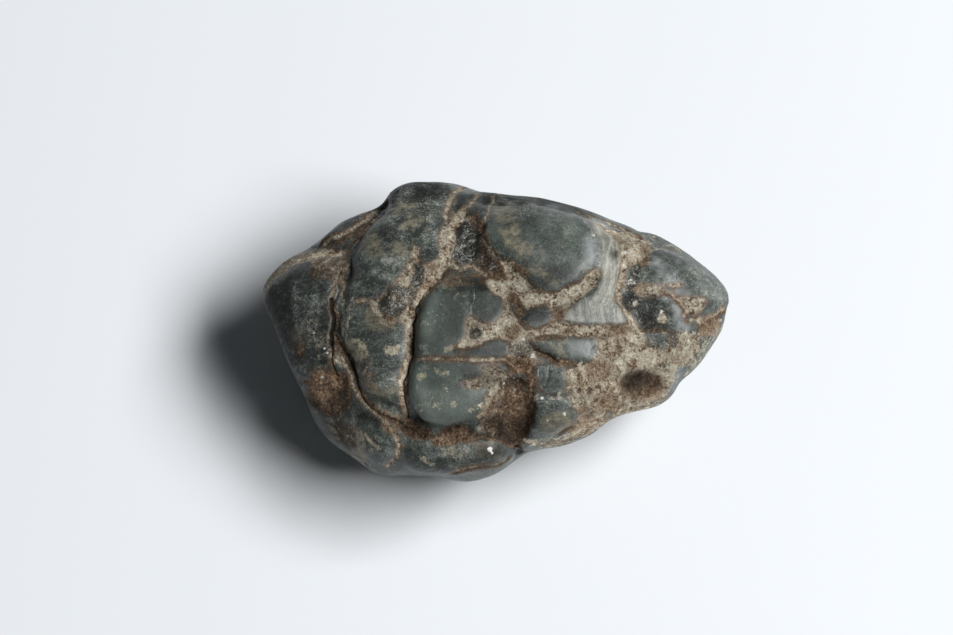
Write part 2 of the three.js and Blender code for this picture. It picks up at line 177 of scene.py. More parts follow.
creamVeins = {
    "upright vein": {"wide": 3.4, "path": [(484, 190), (474, 188), (463, 188.5), (456, 191), (452, 196)]},
    "middle fissure lip": {"wide": 5.5, "path": [(410, 312), (410, 326), (410, 340), (409, 354), (406, 366),
        (403, 375)]},
    "middle fissure foot": {"wide": 3.2, "path": [(402, 378), (401, 390), (403, 402), (406, 414)]},
    "top rim vein": {"wide": 2, "path": [(498, 194), (515, 195), (532, 196), (549, 199), (566, 205), (580, 211)]},
    "short vein": {"wide": 2.6, "path": [(478, 195), (474, 200), (470, 206)]},
    "second vein": {"wide": 2.2, "path": [(496, 196), (492, 203), (488, 214), (485, 228)]},
    "thin hook": {"wide": 1.6, "path": [(482, 237), (488, 247), (496, 258), (504, 264)]},
    "black patch foot": {"wide": 3, "path": [(445, 268), (452, 267), (460, 270), (468, 266), (478, 268),
        (486, 276)]},
    "shoulder knot": {"wide": 2.2, "path": [(322, 270), (332, 266), (342, 270)]},
    "heel vein": {"wide": 5, "path": [(326, 244), (341, 236), (353, 228), (366, 219), (378, 209)]},
    "crease lip": {"wide": 1.5, "path": [(388, 214), (378, 218), (369, 226), (363, 235), (357, 245)]},
    "centre line": {"wide": 1.4, "path": [(417, 358), (436, 359), (455, 359), (474, 360), (492, 359), (508, 360)]},
    "hollow ridge": {"wide": 4, "path": [(508, 378), (500, 384), (493, 392), (488, 401), (487, 410), (480, 416)]},
    "hollow crumbs": {"wide": 5, "path": [(488, 370), (496, 374), (506, 376)]},
    "wedge": {"wide": 3, "path": [(544, 363), (546, 371), (548, 379)]},
    "panel seam": {"wide": 1.4, "path": [(534, 366), (537, 377), (541, 389)]},
    "fan band": {"wide": 5, "path": [(580, 212), (592, 221), (603, 228), (613, 233), (620, 240)]},
    "fan foot": {"wide": 6, "path": [(625, 308), (632, 321), (640, 333), (645, 340)]},
    "right thread": {"wide": 2, "path": [(642, 285), (652, 286), (662, 289), (670, 293), (674, 298), (680, 300)]},
    "right chip": {"wide": 3, "path": [(665, 284), (673, 285), (681, 285)]},
    "edge band": {"wide": 5, "path": [(728, 307), (719, 311), (711, 317), (702, 321)]},
    "lower crest": {"wide": 2.6, "path": [(385, 428), (394, 430), (397, 440), (400, 446), (397, 452), (400, 457),
        (393, 462), (387, 467)]},
    "lower streak": {"wide": 7, "path": [(458, 471), (472, 467), (488, 465), (504, 461)]},
    "lower left curve": {"wide": 2, "path": [(350, 449), (356, 455), (364, 461), (371, 469)]},
    "speck line": {"wide": 2.4, "path": [(366, 434), (371, 441), (377, 448)]},
    "branch lip": {"wide": 2.5, "path": [(340, 350), (344, 359), (348, 368), (353, 378), (355, 388), (360, 397),
        (366, 406)]},
    "fissure lip": {"wide": 1.2, "path": [(343, 278), (344, 288), (341, 298)]},
    "fork lip": {"wide": 1.2, "path": [(335, 284), (334, 292), (330, 299)]},
    "lower right crumbs": {"wide": 5, "path": [(577, 374), (575, 386), (577, 398), (584, 408)]},
    "far vein": {"far": True, "wide": 6, "path": [(456, 188), (462, 206), (472, 226), (470, 250), (480, 272),
        (498, 290), (504, 318), (498, 344)]},
    "far band": {"far": True, "wide": 9, "path": [(590, 214), (598, 238), (612, 258), (616, 284), (604, 312),
        (600, 342), (590, 372), (574, 398)]},
    "far branch": {"far": True, "wide": 5, "path": [(498, 290), (520, 284), (546, 288), (572, 280), (604, 286)]},
    "far heel vein": {"far": True, "wide": 6, "path": [(336, 228), (352, 246), (362, 270), (358, 298), (366, 326),
        (384, 348), (390, 378)]},
    "far low vein": {"far": True, "wide": 5, "path": [(504, 468), (498, 446), (506, 420), (500, 396), (498, 368),
        (498, 344)]},
    "far thread": {"far": True, "wide": 2.4, "path": [(280, 330), (306, 320), (336, 326), (366, 326)]},
    "far end vein": {"far": True, "wide": 5, "path": [(728, 305), (706, 300), (684, 288), (662, 290), (640, 276),
        (616, 284)]},
    "second vein cap": {"wide": 3.5, "path": [(490, 199), (495, 197), (500, 200)]},
    "fan upright": {"wide": 5, "path": [(622, 240), (624, 254), (625, 266), (621, 280), (619, 292), (621, 304)]},
    "rim streak": {"wide": 2.2, "path": [(596, 217), (610, 223), (624, 230), (638, 236)]},
    "rim streak low": {"wide": 1.6, "path": [(590, 214), (604, 221), (616, 228)]},
    "right low streak": {"wide": 3, "path": [(684, 316), (692, 318), (702, 321), (712, 326)]},
    "lower rim light": {"wide": 2.5, "path": [(540, 444), (570, 440), (600, 424), (626, 411), (650, 406),
        (668, 398)]},
    "vee tail": {"wide": 2.2, "path": [(356, 302), (363, 300), (372, 299)]},
    "upright vein neck": {"wide": 2.8, "path": [(452, 196), (449, 203), (447, 210), (445.5, 218), (444, 226)]},
    "upright vein foot": {"wide": 5.0, "path": [(444, 226), (443, 236), (443, 248), (443, 260), (442, 270),
        (436, 281), (428, 290)]},
    "branch lip foot": {"wide": 1.6, "path": [(366, 406), (374, 413), (384, 420), (388, 424)]},
}

creamPatches = {
    "upper network": {"hold": 0.9, "outline": [(504, 262), (513, 262), (515, 268), (520, 276), (526, 281),
        (532, 288), (541, 294), (556, 294), (562, 290), (575, 286), (582, 282), (588, 274), (596, 270), (600, 272),
        (598, 282), (590, 291), (580, 300), (572, 305), (562, 311), (562, 318), (556, 318), (552, 308), (545, 302),
        (536, 306), (528, 310), (523, 303), (520, 296), (514, 291), (508, 294), (505, 300), (503, 298), (499, 294),
        (493, 294), (489, 288), (486, 282), (490, 280), (498, 281), (505, 280), (508, 274), (504, 268)]},
    "lower network": {"hold": 0.85, "outline": [(505, 300), (508, 304), (511, 310), (515, 318), (520, 326),
        (528, 331), (540, 330), (548, 326), (556, 322), (563, 322), (575, 325), (600, 325), (625, 326), (636, 330),
        (645, 340), (640, 345), (625, 340), (610, 338), (600, 336), (580, 336), (562, 335), (545, 334), (533, 336),
        (530, 342), (534, 350), (536, 360), (530, 362), (520, 360), (514, 366), (510, 362), (510, 350), (508, 340),
        (500, 337), (490, 338), (480, 344), (468, 347), (458, 347), (462, 342), (467, 337), (466, 326), (468, 317),
        (476, 320), (484, 323), (490, 326), (497, 322), (502, 315), (504, 308)]},
    "spike and vee": {"hold": 0.6, "outline": [(416, 243), (418, 250), (419, 258), (421, 263), (414, 263),
        (413, 270), (412, 279), (408, 288), (401, 286), (398, 281), (402, 274), (404, 266), (410, 259), (413, 251)]},
    "hollow lip": {"hold": 0.35, "outline": [(483, 368), (494, 366), (503, 372), (512, 376), (503, 381), (501, 389),
        (496, 398), (492, 408), (486, 416), (482, 414), (487, 402), (488, 390), (484, 386), (478, 388), (466, 386),
        (461, 382), (470, 379), (484, 377)]},
    "right triangle": {"hold": 0.7, "outline": [(679, 298), (690, 297), (704, 299), (706, 304), (700, 312),
        (690, 317), (686, 311), (682, 305)]},
    "grainy shoulder": {"hold": -0.05, "outline": [(312, 266), (330, 259), (346, 258), (349, 268), (341, 278),
        (324, 277), (313, 276)]},
    "upright vein broad": {"hold": 0.34, "outline": [(442, 229), (448, 227), (455, 232), (457, 242), (455, 252),
        (457, 262), (452, 267), (445, 266), (441, 258), (441, 242)]},
    "black patch top": {"hold": 0.35, "outline": [(449, 226), (454, 219), (459, 210), (465, 207), (467, 214),
        (467, 221), (461, 225), (455, 230), (450, 232)]},
    "dent top": {"hold": 0.15, "outline": [(636, 288), (650, 286), (660, 289), (663, 293), (656, 297), (645, 297),
        (637, 294)]},
    "vee arm": {"hold": 0.42, "outline": [(424, 263), (430, 264), (437, 260), (444, 263), (446, 270), (442, 279),
        (435, 286), (428, 292), (421, 299), (417, 306), (413, 302), (419, 293), (424, 285), (426, 275)]},
    "vee left lobe": {"hold": 0.42, "outline": [(367, 301), (378, 297), (386, 291), (391, 286), (388, 296),
        (382, 300), (380, 308), (385, 314), (386, 322), (380, 319), (374, 310)]},
    "vee foot": {"hold": 0.25, "outline": [(378, 318), (388, 321), (395, 323), (390, 328), (382, 325)]},
    "crest head": {"hold": 0.5, "outline": [(401, 309), (409, 306), (416, 307), (415, 322), (411, 332), (406, 324),
        (400, 320)]},
    "shoulder rim patch": {"hold": 0.3, "outline": [(262, 290), (268, 278), (277, 267), (290, 258), (306, 252),
        (322, 250), (340, 250), (350, 253), (342, 257), (324, 257), (308, 259), (294, 264), (283, 272), (273, 281),
        (266, 292)]},
    "crust cream one": {"hold": 0.35, "outline": [(566, 372), (574, 368), (580, 376), (576, 388), (568, 392),
        (565, 384)]},
    "crust cream two": {"hold": 0.4, "outline": [(570, 396), (580, 395), (584, 402), (582, 412), (576, 408),
        (571, 404)]},
    "crust cream three": {"hold": 0.2, "outline": [(590, 366), (604, 366), (608, 374), (598, 380), (588, 376)]},
    "crust cream four": {"hold": 0.25, "outline": [(612, 396), (622, 396), (622, 406), (612, 408)]},
    "crust cream five": {"hold": 0.25, "outline": [(600, 338), (616, 340), (620, 350), (606, 354), (600, 348)]},
}

brownLines = {
    "upright vein shade": {"wide": 2.6, "path": [(453, 198), (450, 207), (448.5, 217), (447.5, 228), (447.5, 238),
        (448, 248)]},
    "heel brown": {"wide": 12, "path": [(322, 246), (340, 238), (356, 227), (372, 214), (384, 204)]},
    "crease brown": {"wide": 5, "path": [(372, 220), (362, 231), (354, 244), (347, 256), (342, 268), (340, 280)]},
    "fissure brown": {"wide": 7, "path": [(333, 302), (334, 330), (332, 360), (336, 378)]},
    "branch brown": {"wide": 7, "path": [(338, 342), (350, 356), (358, 372), (364, 396), (384, 414), (408, 428)]},
    "middle fissure brown": {"wide": 4.5, "path": [(427, 291), (417, 306), (414, 330), (412, 356), (405, 376),
        (404, 396), (410, 422)]},
    "groove brown": {"wide": 7, "path": [(416, 432), (432, 437), (448, 436), (462, 431), (476, 435), (492, 436),
        (508, 440), (519, 450)]},
    "under groove": {"wide": 10, "path": [(436, 441), (450, 443), (464, 441), (476, 442)]},
    "centre line brown": {"wide": 3.5, "path": [(426, 359), (450, 358), (470, 361), (490, 360), (506, 359)]},
    "shield foot": {"wide": 5, "path": [(456, 347), (474, 348), (490, 344), (504, 340)]},
    "lens brown": {"wide": 5, "path": [(515, 268), (524, 270), (530, 280), (538, 290), (547, 296), (558, 292),
        (566, 287), (578, 284), (588, 276)]},
    "lens foot": {"wide": 5, "path": [(516, 310), (522, 322), (534, 328), (548, 326), (556, 322)]},
    "panel top": {"wide": 4, "path": [(560, 322), (580, 325), (600, 326), (620, 325), (630, 324)]},
    "panel rust": {"wide": 5, "path": [(612, 326), (624, 330), (634, 334)]},
    "shield left brown": {"wide": 4, "path": [(535, 338), (545, 335), (556, 336), (562, 342), (556, 346)]},
    "panel foot": {"wide": 7, "path": [(534, 350), (548, 357), (562, 362), (580, 366), (590, 364)]},
    "centre brown": {"wide": 14, "path": [(508, 362), (520, 366), (530, 372), (530, 384)]},
    "dome crack brown": {"wide": 14, "path": [(484, 228), (484, 242), (488, 256), (494, 268), (500, 280)]},
    "fan brown": {"wide": 12, "path": [(640, 236), (642, 246), (640, 256), (636, 264)]},
    "top streaks": {"wide": 3, "path": [(586, 214), (600, 219), (614, 226), (630, 233), (644, 238)]},
    "thread brown": {"wide": 5, "path": [(630, 284), (642, 288), (655, 291), (668, 294), (676, 300), (684, 310),
        (686, 320)]},
    "triangle brown": {"wide": 3.5, "path": [(678, 298), (683, 306), (686, 314), (687, 322)]},
    "edge brown": {"wide": 8, "path": [(727, 310), (716, 316), (704, 322), (699, 334)]},
    "right step brown": {"wide": 4, "path": [(640, 330), (658, 331), (676, 332), (688, 334)]},
    "bottom brown": {"wide": 7, "path": [(560, 434), (572, 428), (586, 422), (602, 412), (620, 407), (640, 403)]},
    "lower streak brown": {"wide": 10, "path": [(455, 474), (474, 468), (494, 466), (508, 460)]},
    "left brown spot": {"wide": 5, "path": [(297, 345), (300, 351), (303, 358)]},
    "rim brown": {"wide": 5, "path": [(620, 228), (630, 233), (637, 238)]},
    "knot brown": {"wide": 3.5, "path": [(312, 274), (326, 270), (340, 276)]},
    "net foot brown": {"wide": 4, "path": [(486, 268), (496, 278), (506, 276)]},
    "rim shade": {"wide": 2.5, "path": [(290, 255), (306, 248), (322, 246), (340, 247), (352, 249)]},
    "pit brown": {"wide": 16, "path": [(404, 424), (412, 430), (420, 433)]},
    "small panel foot": {"wide": 2.4, "path": [(534, 386), (544, 392), (556, 396), (566, 397)]},
    "small panel side": {"wide": 3.5, "path": [(566, 364), (570, 378), (568, 392)]},
    "fan slit": {"wide": 2.6, "path": [(613, 263), (615, 256), (618, 251)]},
}

brownPatches = {
    "brown column": {"hold": 0.5, "outline": [(507, 301), (510, 294), (516, 292), (521, 296), (522, 303), (526, 310),
        (524, 318), (519, 314), (514, 306)]},
    "lens corner": {"hold": 0.3, "outline": [(514, 266), (522, 266), (528, 270), (526, 278), (519, 276)]},
    "shield top brown": {"hold": 0.2, "outline": [(536, 334), (556, 332), (560, 338), (548, 340), (538, 340)]},
    "left hollow": {"hold": 0.35, "soft": 0.7, "depth": 0.35, "outline": [(316, 368), (332, 366), (346, 372),
        (352, 384), (352, 400), (346, 410), (338, 418), (326, 417), (314, 408), (303, 402), (308, 392), (306, 386),
        (296, 384), (308, 378)]},
    "left hollow foot": {"hold": 0.15, "depth": 0.2, "outline": [(326, 420), (344, 424), (360, 432), (362, 444),
        (350, 450), (336, 440)]},
    "pit": {"hold": 0.8, "depth": 0.5, "outline": [(402, 421), (412, 418), (424, 422), (431, 430), (428, 438),
        (414, 438), (404, 431)]},
    "middle hollow": {"hold": 0.7, "depth": 0.7, "outline": [(504, 378), (518, 377), (530, 382), (535, 394),
        (535, 410), (533, 424), (527, 438), (519, 449), (511, 440), (497, 436), (480, 430), (490, 420), (502, 406),
        (504, 394), (500, 386)]},
    "dome brown": {"hold": 0.25, "depth": 0.1, "outline": [(482, 236), (496, 240), (510, 250), (512, 262),
        (504, 270), (490, 264), (482, 252)]},
    "above face": {"hold": 0.04, "depth": 0.05, "outline": [(446, 268), (466, 272), (484, 276), (488, 286),
        (468, 284), (450, 288), (440, 282)]},
    "far hollow": {"far": True, "hold": 0.5, "depth": 0.7, "outline": [(520, 396), (544, 392), (556, 408),
        (548, 428), (526, 432), (514, 414)]},
    "far upper hollow": {"far": True, "hold": 0.3, "depth": 0.5, "outline": [(392, 232), (410, 226), (424, 240),
        (420, 258), (400, 262), (388, 248)]},
    "beside black": {"hold": 0.35, "depth": 0.1, "outline": [(470, 214), (477, 214), (484, 226), (482, 236),
        (487, 244), (494, 254), (500, 264), (500, 277), (492, 280), (484, 275), (477, 264), (478, 250), (479, 238),
        (472, 226)]},
    "low left brown": {"hold": 0.22, "soft": 0.7, "depth": 0.1, "outline": [(330, 422), (344, 420), (356, 428),
        (362, 440), (354, 448), (344, 440), (334, 436)]},
    "toe left brown": {"hold": 0.12, "depth": 0.1, "outline": [(460, 462), (478, 456), (500, 456), (506, 462),
        (486, 470), (464, 472)]},
    "groove hump": {"hold": 0.5, "depth": 0.1, "outline": [(436, 437), (444, 429), (456, 425), (468, 428),
        (479, 436), (472, 442), (456, 447), (442, 445)]},
    "groove right": {"hold": 0.3, "depth": 0.1, "outline": [(484, 434), (500, 430), (514, 436), (520, 450),
        (510, 448), (496, 441)]},
    "dent foot": {"hold": 0.04, "outline": [(646, 318), (656, 322), (668, 324), (668, 331), (650, 331), (642, 326)]},
}

brownStains = {  # over the crusts
    "right hollow": {"hold": 0.9, "soft": 0.5, "depth": 0.8, "outline": [(618, 384), (628, 376), (638, 372),
        (650, 374), (662, 379), (666, 388), (660, 397), (646, 401), (632, 398), (622, 392)]},
    "side hollow": {"hold": 0.3, "depth": 0.3, "outline": [(600, 402), (608, 396), (614, 402), (610, 410),
        (601, 409)]},
    "crust brown one": {"hold": 0.05, "soft": 0.5, "depth": 0.1, "outline": [(598, 398), (612, 394), (620, 402),
        (610, 412), (598, 410)]},
    "crust brown two": {"hold": 0.05, "soft": 0.5, "depth": 0.1, "outline": [(580, 408), (594, 412), (590, 424),
        (576, 430), (566, 426)]},
    "dark bean": {"hold": 0.3, "depth": 0.1, "outline": [(562, 330), (568, 327), (576, 329), (574, 333),
        (566, 334)]},
    "panel rust spots": {"hold": 0.1, "depth": 0.05, "outline": [(602, 325), (616, 325), (628, 328), (630, 336),
        (618, 334), (604, 330)]},
    "band foot brown": {"hold": 0.1, "outline": [(553, 306), (562, 304), (566, 312), (562, 322), (552, 324),
        (550, 316)]},
    "bottom brown patch": {"hold": 0.12, "depth": 0.15, "outline": [(566, 428), (580, 418), (592, 412), (596, 420),
        (584, 428), (570, 434)]},
    "crust top brown": {"hold": 0.25, "soft": 0.5, "outline": [(606, 326), (622, 324), (632, 330), (624, 337),
        (610, 335)]},
    "crust right brown": {"hold": 0.25, "soft": 0.6, "outline": [(704, 318), (716, 316), (720, 326), (708, 338),
        (700, 334)]},
    "crust low brown": {"hold": 0.05, "soft": 0.5, "depth": 0.1, "outline": [(586, 364), (600, 360), (612, 368),
        (606, 378), (592, 376)]},
    "net heart": {"hold": 0.25, "soft": 0.6, "depth": 0.1, "outline": [(504, 326), (518, 324), (522, 334),
        (512, 342), (504, 336)]},
    "net foot": {"hold": 0.3, "soft": 0.6, "depth": 0.1, "outline": [(506, 356), (526, 352), (534, 362), (528, 376),
        (512, 372)]},
    "vee brown": {"hold": 0.3, "soft": 0.6, "outline": [(428, 265), (434, 263), (440, 266), (438, 272), (431, 271)]},
    "left hollow heart": {"hold": 0.35, "soft": 0.6, "outline": [(330, 376), (346, 374), (352, 388), (348, 394),
        (336, 390), (330, 386)]},
    "vee arm low": {"hold": 0.15, "soft": 0.6, "outline": [(424, 280), (432, 278), (436, 284), (428, 290),
        (422, 288)]},
    "vee left brown": {"hold": 0.2, "soft": 0.6, "outline": [(385, 314), (393, 314), (396, 320), (388, 322)]},
    "crust fan brown": {"hold": 0.35, "soft": 0.5, "depth": 0.1, "outline": [(641, 246), (648, 245), (649, 256),
        (646, 265), (640, 270), (638, 262), (642, 256)]},
    "fan foot brown": {"hold": 0.25, "soft": 0.5, "outline": [(622, 285), (632, 284), (642, 288), (640, 293),
        (628, 291)]},
    "left brown spot": {"hold": 0.3, "soft": 0.6, "outline": [(296, 344), (302, 341), (306, 350), (303, 358),
        (297, 354)]},
    "crest top brown": {"hold": 0.3, "soft": 0.6, "outline": [(384, 426), (396, 426), (398, 434), (388, 434)]},
    "hollow left brown": {"hold": 0.15, "soft": 0.5, "outline": [(482, 424), (487, 410), (494, 398), (504, 392),
        (507, 410), (504, 430), (492, 434)]},
    "band brown spot": {"hold": -0.02, "soft": 0.5, "outline": [(364, 372), (372, 370), (376, 378), (374, 388),
        (368, 390), (364, 382)]},
    "pale patch brown": {"hold": -0.05, "soft": 0.5, "outline": [(362, 354), (370, 358), (369, 367), (362, 366)]},
}

blackPatches = {
    "sparkling patch": {"hold": 0.6, "outline": [(455, 226), (466, 221), (479, 232), (478, 247), (476, 262),
        (467, 262), (457, 265), (451, 255), (456, 242)]},
    "vee filling": {"hold": 0.14, "outline": [(385, 287), (395, 284), (403, 290), (404, 298), (406, 307), (400, 316),
        (391, 315), (381, 312), (379, 302), (384, 296)]},
    "spike specks": {"hold": 0.28, "outline": [(414, 263), (420, 262), (424, 269), (424, 277), (421, 285),
        (415, 288), (411, 284), (413, 276), (414, 270)]},
    "prong hole": {"hold": 0.15, "outline": [(470, 328), (478, 326), (483, 332), (480, 339), (470, 339)]},
    "right speckles": {"hold": 0.15, "outline": [(632, 262), (640, 264), (642, 276), (636, 286), (628, 292),
        (626, 282), (631, 272)]},
    "right black": {"hold": 0.3, "outline": [(623, 292), (634, 291), (640, 298), (636, 308), (628, 312),
        (622, 303)]},
    "right black foot": {"hold": 0.25, "outline": [(634, 311), (645, 310), (653, 316), (655, 327), (646, 330),
        (638, 322)]},
    "granular black": {"hold": 0.04, "outline": [(645, 336), (662, 334), (678, 336), (676, 347), (660, 350),
        (646, 346)]},
    "stem specks": {"hold": 0.0, "outline": [(503, 346), (516, 344), (530, 336), (536, 344), (530, 356),
        (512, 356)]},
    "notch": {"hold": 0.9, "outline": [(372, 216), (380, 208), (388, 200), (387, 207), (380, 214), (374, 219)]},
    "far black": {"far": True, "hold": 0.15, "outline": [(462, 300), (482, 294), (496, 306), (490, 324), (470, 328),
        (458, 314)]},
    "beside black specks": {"hold": -0.02, "outline": [(474, 232), (482, 236), (488, 248), (496, 258), (498, 270),
        (488, 270), (480, 258), (477, 244)]},
    "lobe top specks": {"hold": 0.0, "outline": [(535, 394), (550, 392), (568, 396), (570, 404), (552, 406),
        (536, 404)]},
    "vee middle": {"hold": 0.06, "outline": [(399, 287), (411, 288), (418, 289), (413, 298), (412, 305), (404, 304),
        (402, 296)]},
    "dent specks": {"hold": -0.04, "outline": [(638, 306), (648, 308), (656, 318), (654, 328), (644, 326),
        (636, 314)]},
    "hollow top specks": {"hold": -0.08, "outline": [(500, 380), (514, 377), (526, 380), (526, 390), (512, 393),
        (502, 388)]},
}

# painted reflection: a cold bluish shine painted on the polished places
paintedReflections = {  # a cold shine on the polished places
    "dome shine": [(586, 238), (592, 235), (598, 246), (598, 258), (591, 265), (586, 254)],
    "ridge shine": [(652, 257), (657, 259), (664, 267), (674, 278), (682, 287), (678, 289), (668, 280), (659, 271),
        (653, 263)],
    "dent shine": [(674, 304), (680, 306), (686, 314), (690, 323), (688, 331), (680, 331), (675, 318)],
    "panel shine": [(609, 306), (620, 310), (624, 320), (614, 322), (606, 316)],
    "ledge shine": [(662, 380), (668, 366), (676, 354), (684, 350), (688, 358), (680, 372), (672, 388)],
    "long panel painted reflection": [(566, 341), (592, 342), (592, 356), (572, 356)],
}

chips = {  # pale bits over the black
    "dent chip": {"hold": 0.9, "outline": [(660, 309), (664, 310), (664, 314), (667, 318), (665, 324), (658, 323),
        (657, 318), (660, 315)]},
    "black chip": {"hold": 0.9, "outline": [(633, 301), (637, 301), (639, 306), (636, 308), (633, 305)]},
    "vee chip": {"hold": 0.7, "outline": [(392, 295), (395, 295), (396, 299), (393, 300)]},
    "vee chip low": {"hold": 0.5, "outline": [(404, 298), (408, 297), (408, 301), (405, 303)]},
    "speckle chip": {"hold": 0.8, "outline": [(630, 276), (633, 276), (633, 282), (630, 282)]},
    "hole chip": {"hold": 0.6, "outline": [(474, 331), (478, 332), (478, 336), (475, 336)]},
}

palePatches = {
    "band spot": {"hold": 0.12, "outline": [(345, 345), (351, 339), (360, 338), (367, 345), (368, 354), (360, 362),
        (351, 359), (346, 352)]},
    "band light": {"hold": 0.3, "outline": [(384, 348), (391, 345), (400, 344), (401, 350), (396, 354), (390, 356),
        (385, 355)]},
    "face spot": {"hold": 0.3, "outline": [(418, 376), (421, 373.5), (426, 374), (428, 378), (424, 381),
        (419, 380)]},
    "face cloud": {"hold": 0.2, "outline": [(434, 368), (441, 368), (449, 372), (447, 376), (439, 376), (436, 373)]},
    "face low spots": {"hold": 0.2, "outline": [(450, 402), (455, 401), (457, 405), (452, 407)]},
    "face low spot": {"hold": 0.1, "outline": [(468, 407), (474, 408), (472, 413), (467, 412)]},
    "face lens": {"hold": 0.3, "outline": [(461, 381), (474, 378), (487, 379), (482, 385), (468, 387)]},
    # toe light: the toe's paler jade with a soft painted highlight
    "toe light": {"hold": 0.03, "outline": [(441, 449), (452, 447), (468, 449), (471, 455), (456, 459), (444, 456)]},
    "toe spot": {"hold": 0.6, "outline": [(486, 447), (491, 445), (495, 449), (492, 454), (487, 453)]},
    "left specks": {"hold": 0.02, "outline": [(298, 330), (304, 328), (306, 333), (300, 336)]},
    "blue ledge": {"hold": 0.3, "outline": [(676, 352), (684, 349), (685, 360), (676, 372), (670, 388), (662, 390),
        (666, 374)]},
    "band web": {"hold": 0.0, "outline": [(341, 300), (352, 298), (352, 320), (350, 340), (343, 336)]},
    "face tilt": {"hold": 0.25, "outline": [(443, 352), (447, 346), (453, 344), (455, 347), (449, 352), (445, 354)]},
    "toe chip": {"hold": 0.2, "outline": [(420, 457), (425, 456), (431, 461), (434, 466), (428, 464), (422, 461)]},
    "low left loop": {"hold": 0.02, "outline": [(349, 448), (358, 448), (364, 456), (370, 466), (362, 462),
        (352, 456)]},
    "right skin": {"hold": 0.0, "outline": [(700, 330), (718, 320), (724, 326), (714, 348), (698, 368), (684, 376),
        (688, 360)]},
    "face top blocks": {"hold": -0.03, "outline": [(453, 291), (468, 291), (469, 297), (454, 299)]},
    "face fleck two": {"hold": -0.02, "outline": [(442, 384), (450, 386), (448, 392), (442, 391)]},
    "face fleck three": {"hold": -0.02, "outline": [(433, 403), (441, 404), (440, 411), (433, 410)]},
    "face fleck five": {"hold": -0.02, "outline": [(418, 402), (424, 404), (423, 411), (418, 409)]},
}

grainPatches = {
    "lower right": {"hold": 0.55, "outline": [(598, 336), (620, 337), (644, 338), (660, 346), (680, 338), (694, 332),
        (702, 338), (698, 356), (688, 368), (668, 366), (664, 372), (640, 362), (630, 368), (628, 388), (640, 400),
        (656, 402), (640, 412), (610, 420), (590, 436), (566, 438), (580, 414), (572, 394), (572, 368), (592, 362),
        (600, 352)]},
    "fan crust": {"hold": 0.35, "outline": [(612, 232), (620, 229), (630, 233), (640, 239), (650, 237), (653, 244),
        (650, 254), (648, 262), (640, 267), (632, 271), (628, 262), (622, 252), (616, 242)]},
    "hollow crust": {"hold": 0.15, "outline": [(484, 366), (500, 366), (508, 374), (500, 384), (488, 400),
        (484, 414), (478, 412), (484, 392), (490, 380)]},
    "lower left crust": {"hold": -0.02, "outline": [(326, 420), (346, 424), (362, 434), (372, 448), (360, 454),
        (340, 440)]},
    "knot crust": {"hold": -0.1, "outline": [(310, 264), (328, 258), (346, 256), (349, 268), (340, 280),
        (322, 277)]},
    "right green": {"hold": 0.25, "outline": [(664, 334), (690, 334), (700, 340), (690, 352), (672, 350)]},
    "centre crust": {"hold": 0.1, "outline": [(502, 330), (516, 334), (532, 340), (532, 352), (516, 362),
        (504, 350)]},
    "base edge": {"hold": 0.1, "outline": [(524, 440), (550, 440), (580, 430), (604, 416), (640, 406), (664, 404),
        (640, 412), (606, 424), (576, 442), (544, 450)]},
    "black patch crust": {"hold": 0.15, "outline": [(451, 226), (456, 212), (466, 206), (470, 214), (462, 224),
        (454, 236)]},
    "far crust": {"far": True, "hold": 0.4, "outline": [(560, 380), (600, 372), (640, 380), (668, 392), (650, 408),
        (610, 416), (580, 420), (558, 404)]},
    "far top crust": {"far": True, "hold": 0.25, "outline": [(500, 200), (540, 206), (566, 222), (560, 244),
        (530, 240), (504, 224)]},
    "far left crust": {"far": True, "hold": 0.2, "outline": [(300, 270), (326, 262), (346, 280), (340, 306),
        (314, 308)]},
    "under right hollow": {"hold": 0.6, "outline": [(616, 362), (640, 356), (666, 364), (674, 378), (666, 396),
        (650, 404), (630, 402), (616, 392)]},
    "right rim": {"hold": 0.05, "outline": [(650, 238), (666, 242), (684, 250), (680, 254), (664, 250), (650, 246)]},
    "shoulder specks": {"hold": -0.06, "outline": [(308, 322), (322, 318), (330, 330), (330, 356), (318, 358),
        (310, 344)]},
    "vee crust": {"hold": 0.3, "outline": [(421, 262), (430, 266), (440, 262), (445, 268), (443, 277), (436, 284),
        (428, 292), (420, 302), (415, 310), (404, 312), (397, 320), (393, 326), (384, 326), (378, 316), (372, 304),
        (382, 293), (397, 284), (401, 274), (410, 262)]},
    "right skin specks": {"hold": -0.02, "outline": [(698, 332), (718, 320), (724, 326), (714, 346), (700, 364),
        (690, 372), (692, 352)]},
    "hollow left crust": {"hold": -0.08, "outline": [(480, 428), (488, 410), (498, 394), (508, 392), (508, 406),
        (502, 424), (494, 434), (484, 434)]},
    "island crust": {"hold": 0.25, "outline": [(335, 346), (340, 350), (345, 360), (348, 369), (340, 368),
        (335, 358)]},
    "lobe edge grains": {"hold": 0.02, "outline": [(536, 396), (552, 394), (568, 397), (576, 406), (568, 410),
        (548, 406), (538, 406)]},
}

stripePatches = {
    "striped panel": {"hold": 0.6, "slant": -0.12, "outline": [(560, 311), (570, 304), (583, 298), (601, 296),
        (612, 302), (622, 310), (627, 323), (601, 324), (575, 323), (556, 318)]},
    "striped fan": {"hold": 0.6, "round": (538, 262), "outline": [(578, 211), (592, 216), (606, 226), (613, 238),
        (622, 250), (620, 270), (616, 290), (612, 304), (590, 298), (598, 288), (600, 280), (600, 262), (597, 244),
        (589, 228)]},
    "mauve stripes": {"hold": -0.12, "slant": 0.15, "outline": [(548, 340), (560, 336), (584, 336), (598, 336),
        (599, 342), (591, 358), (583, 363), (568, 359), (556, 355), (545, 348)]},
}

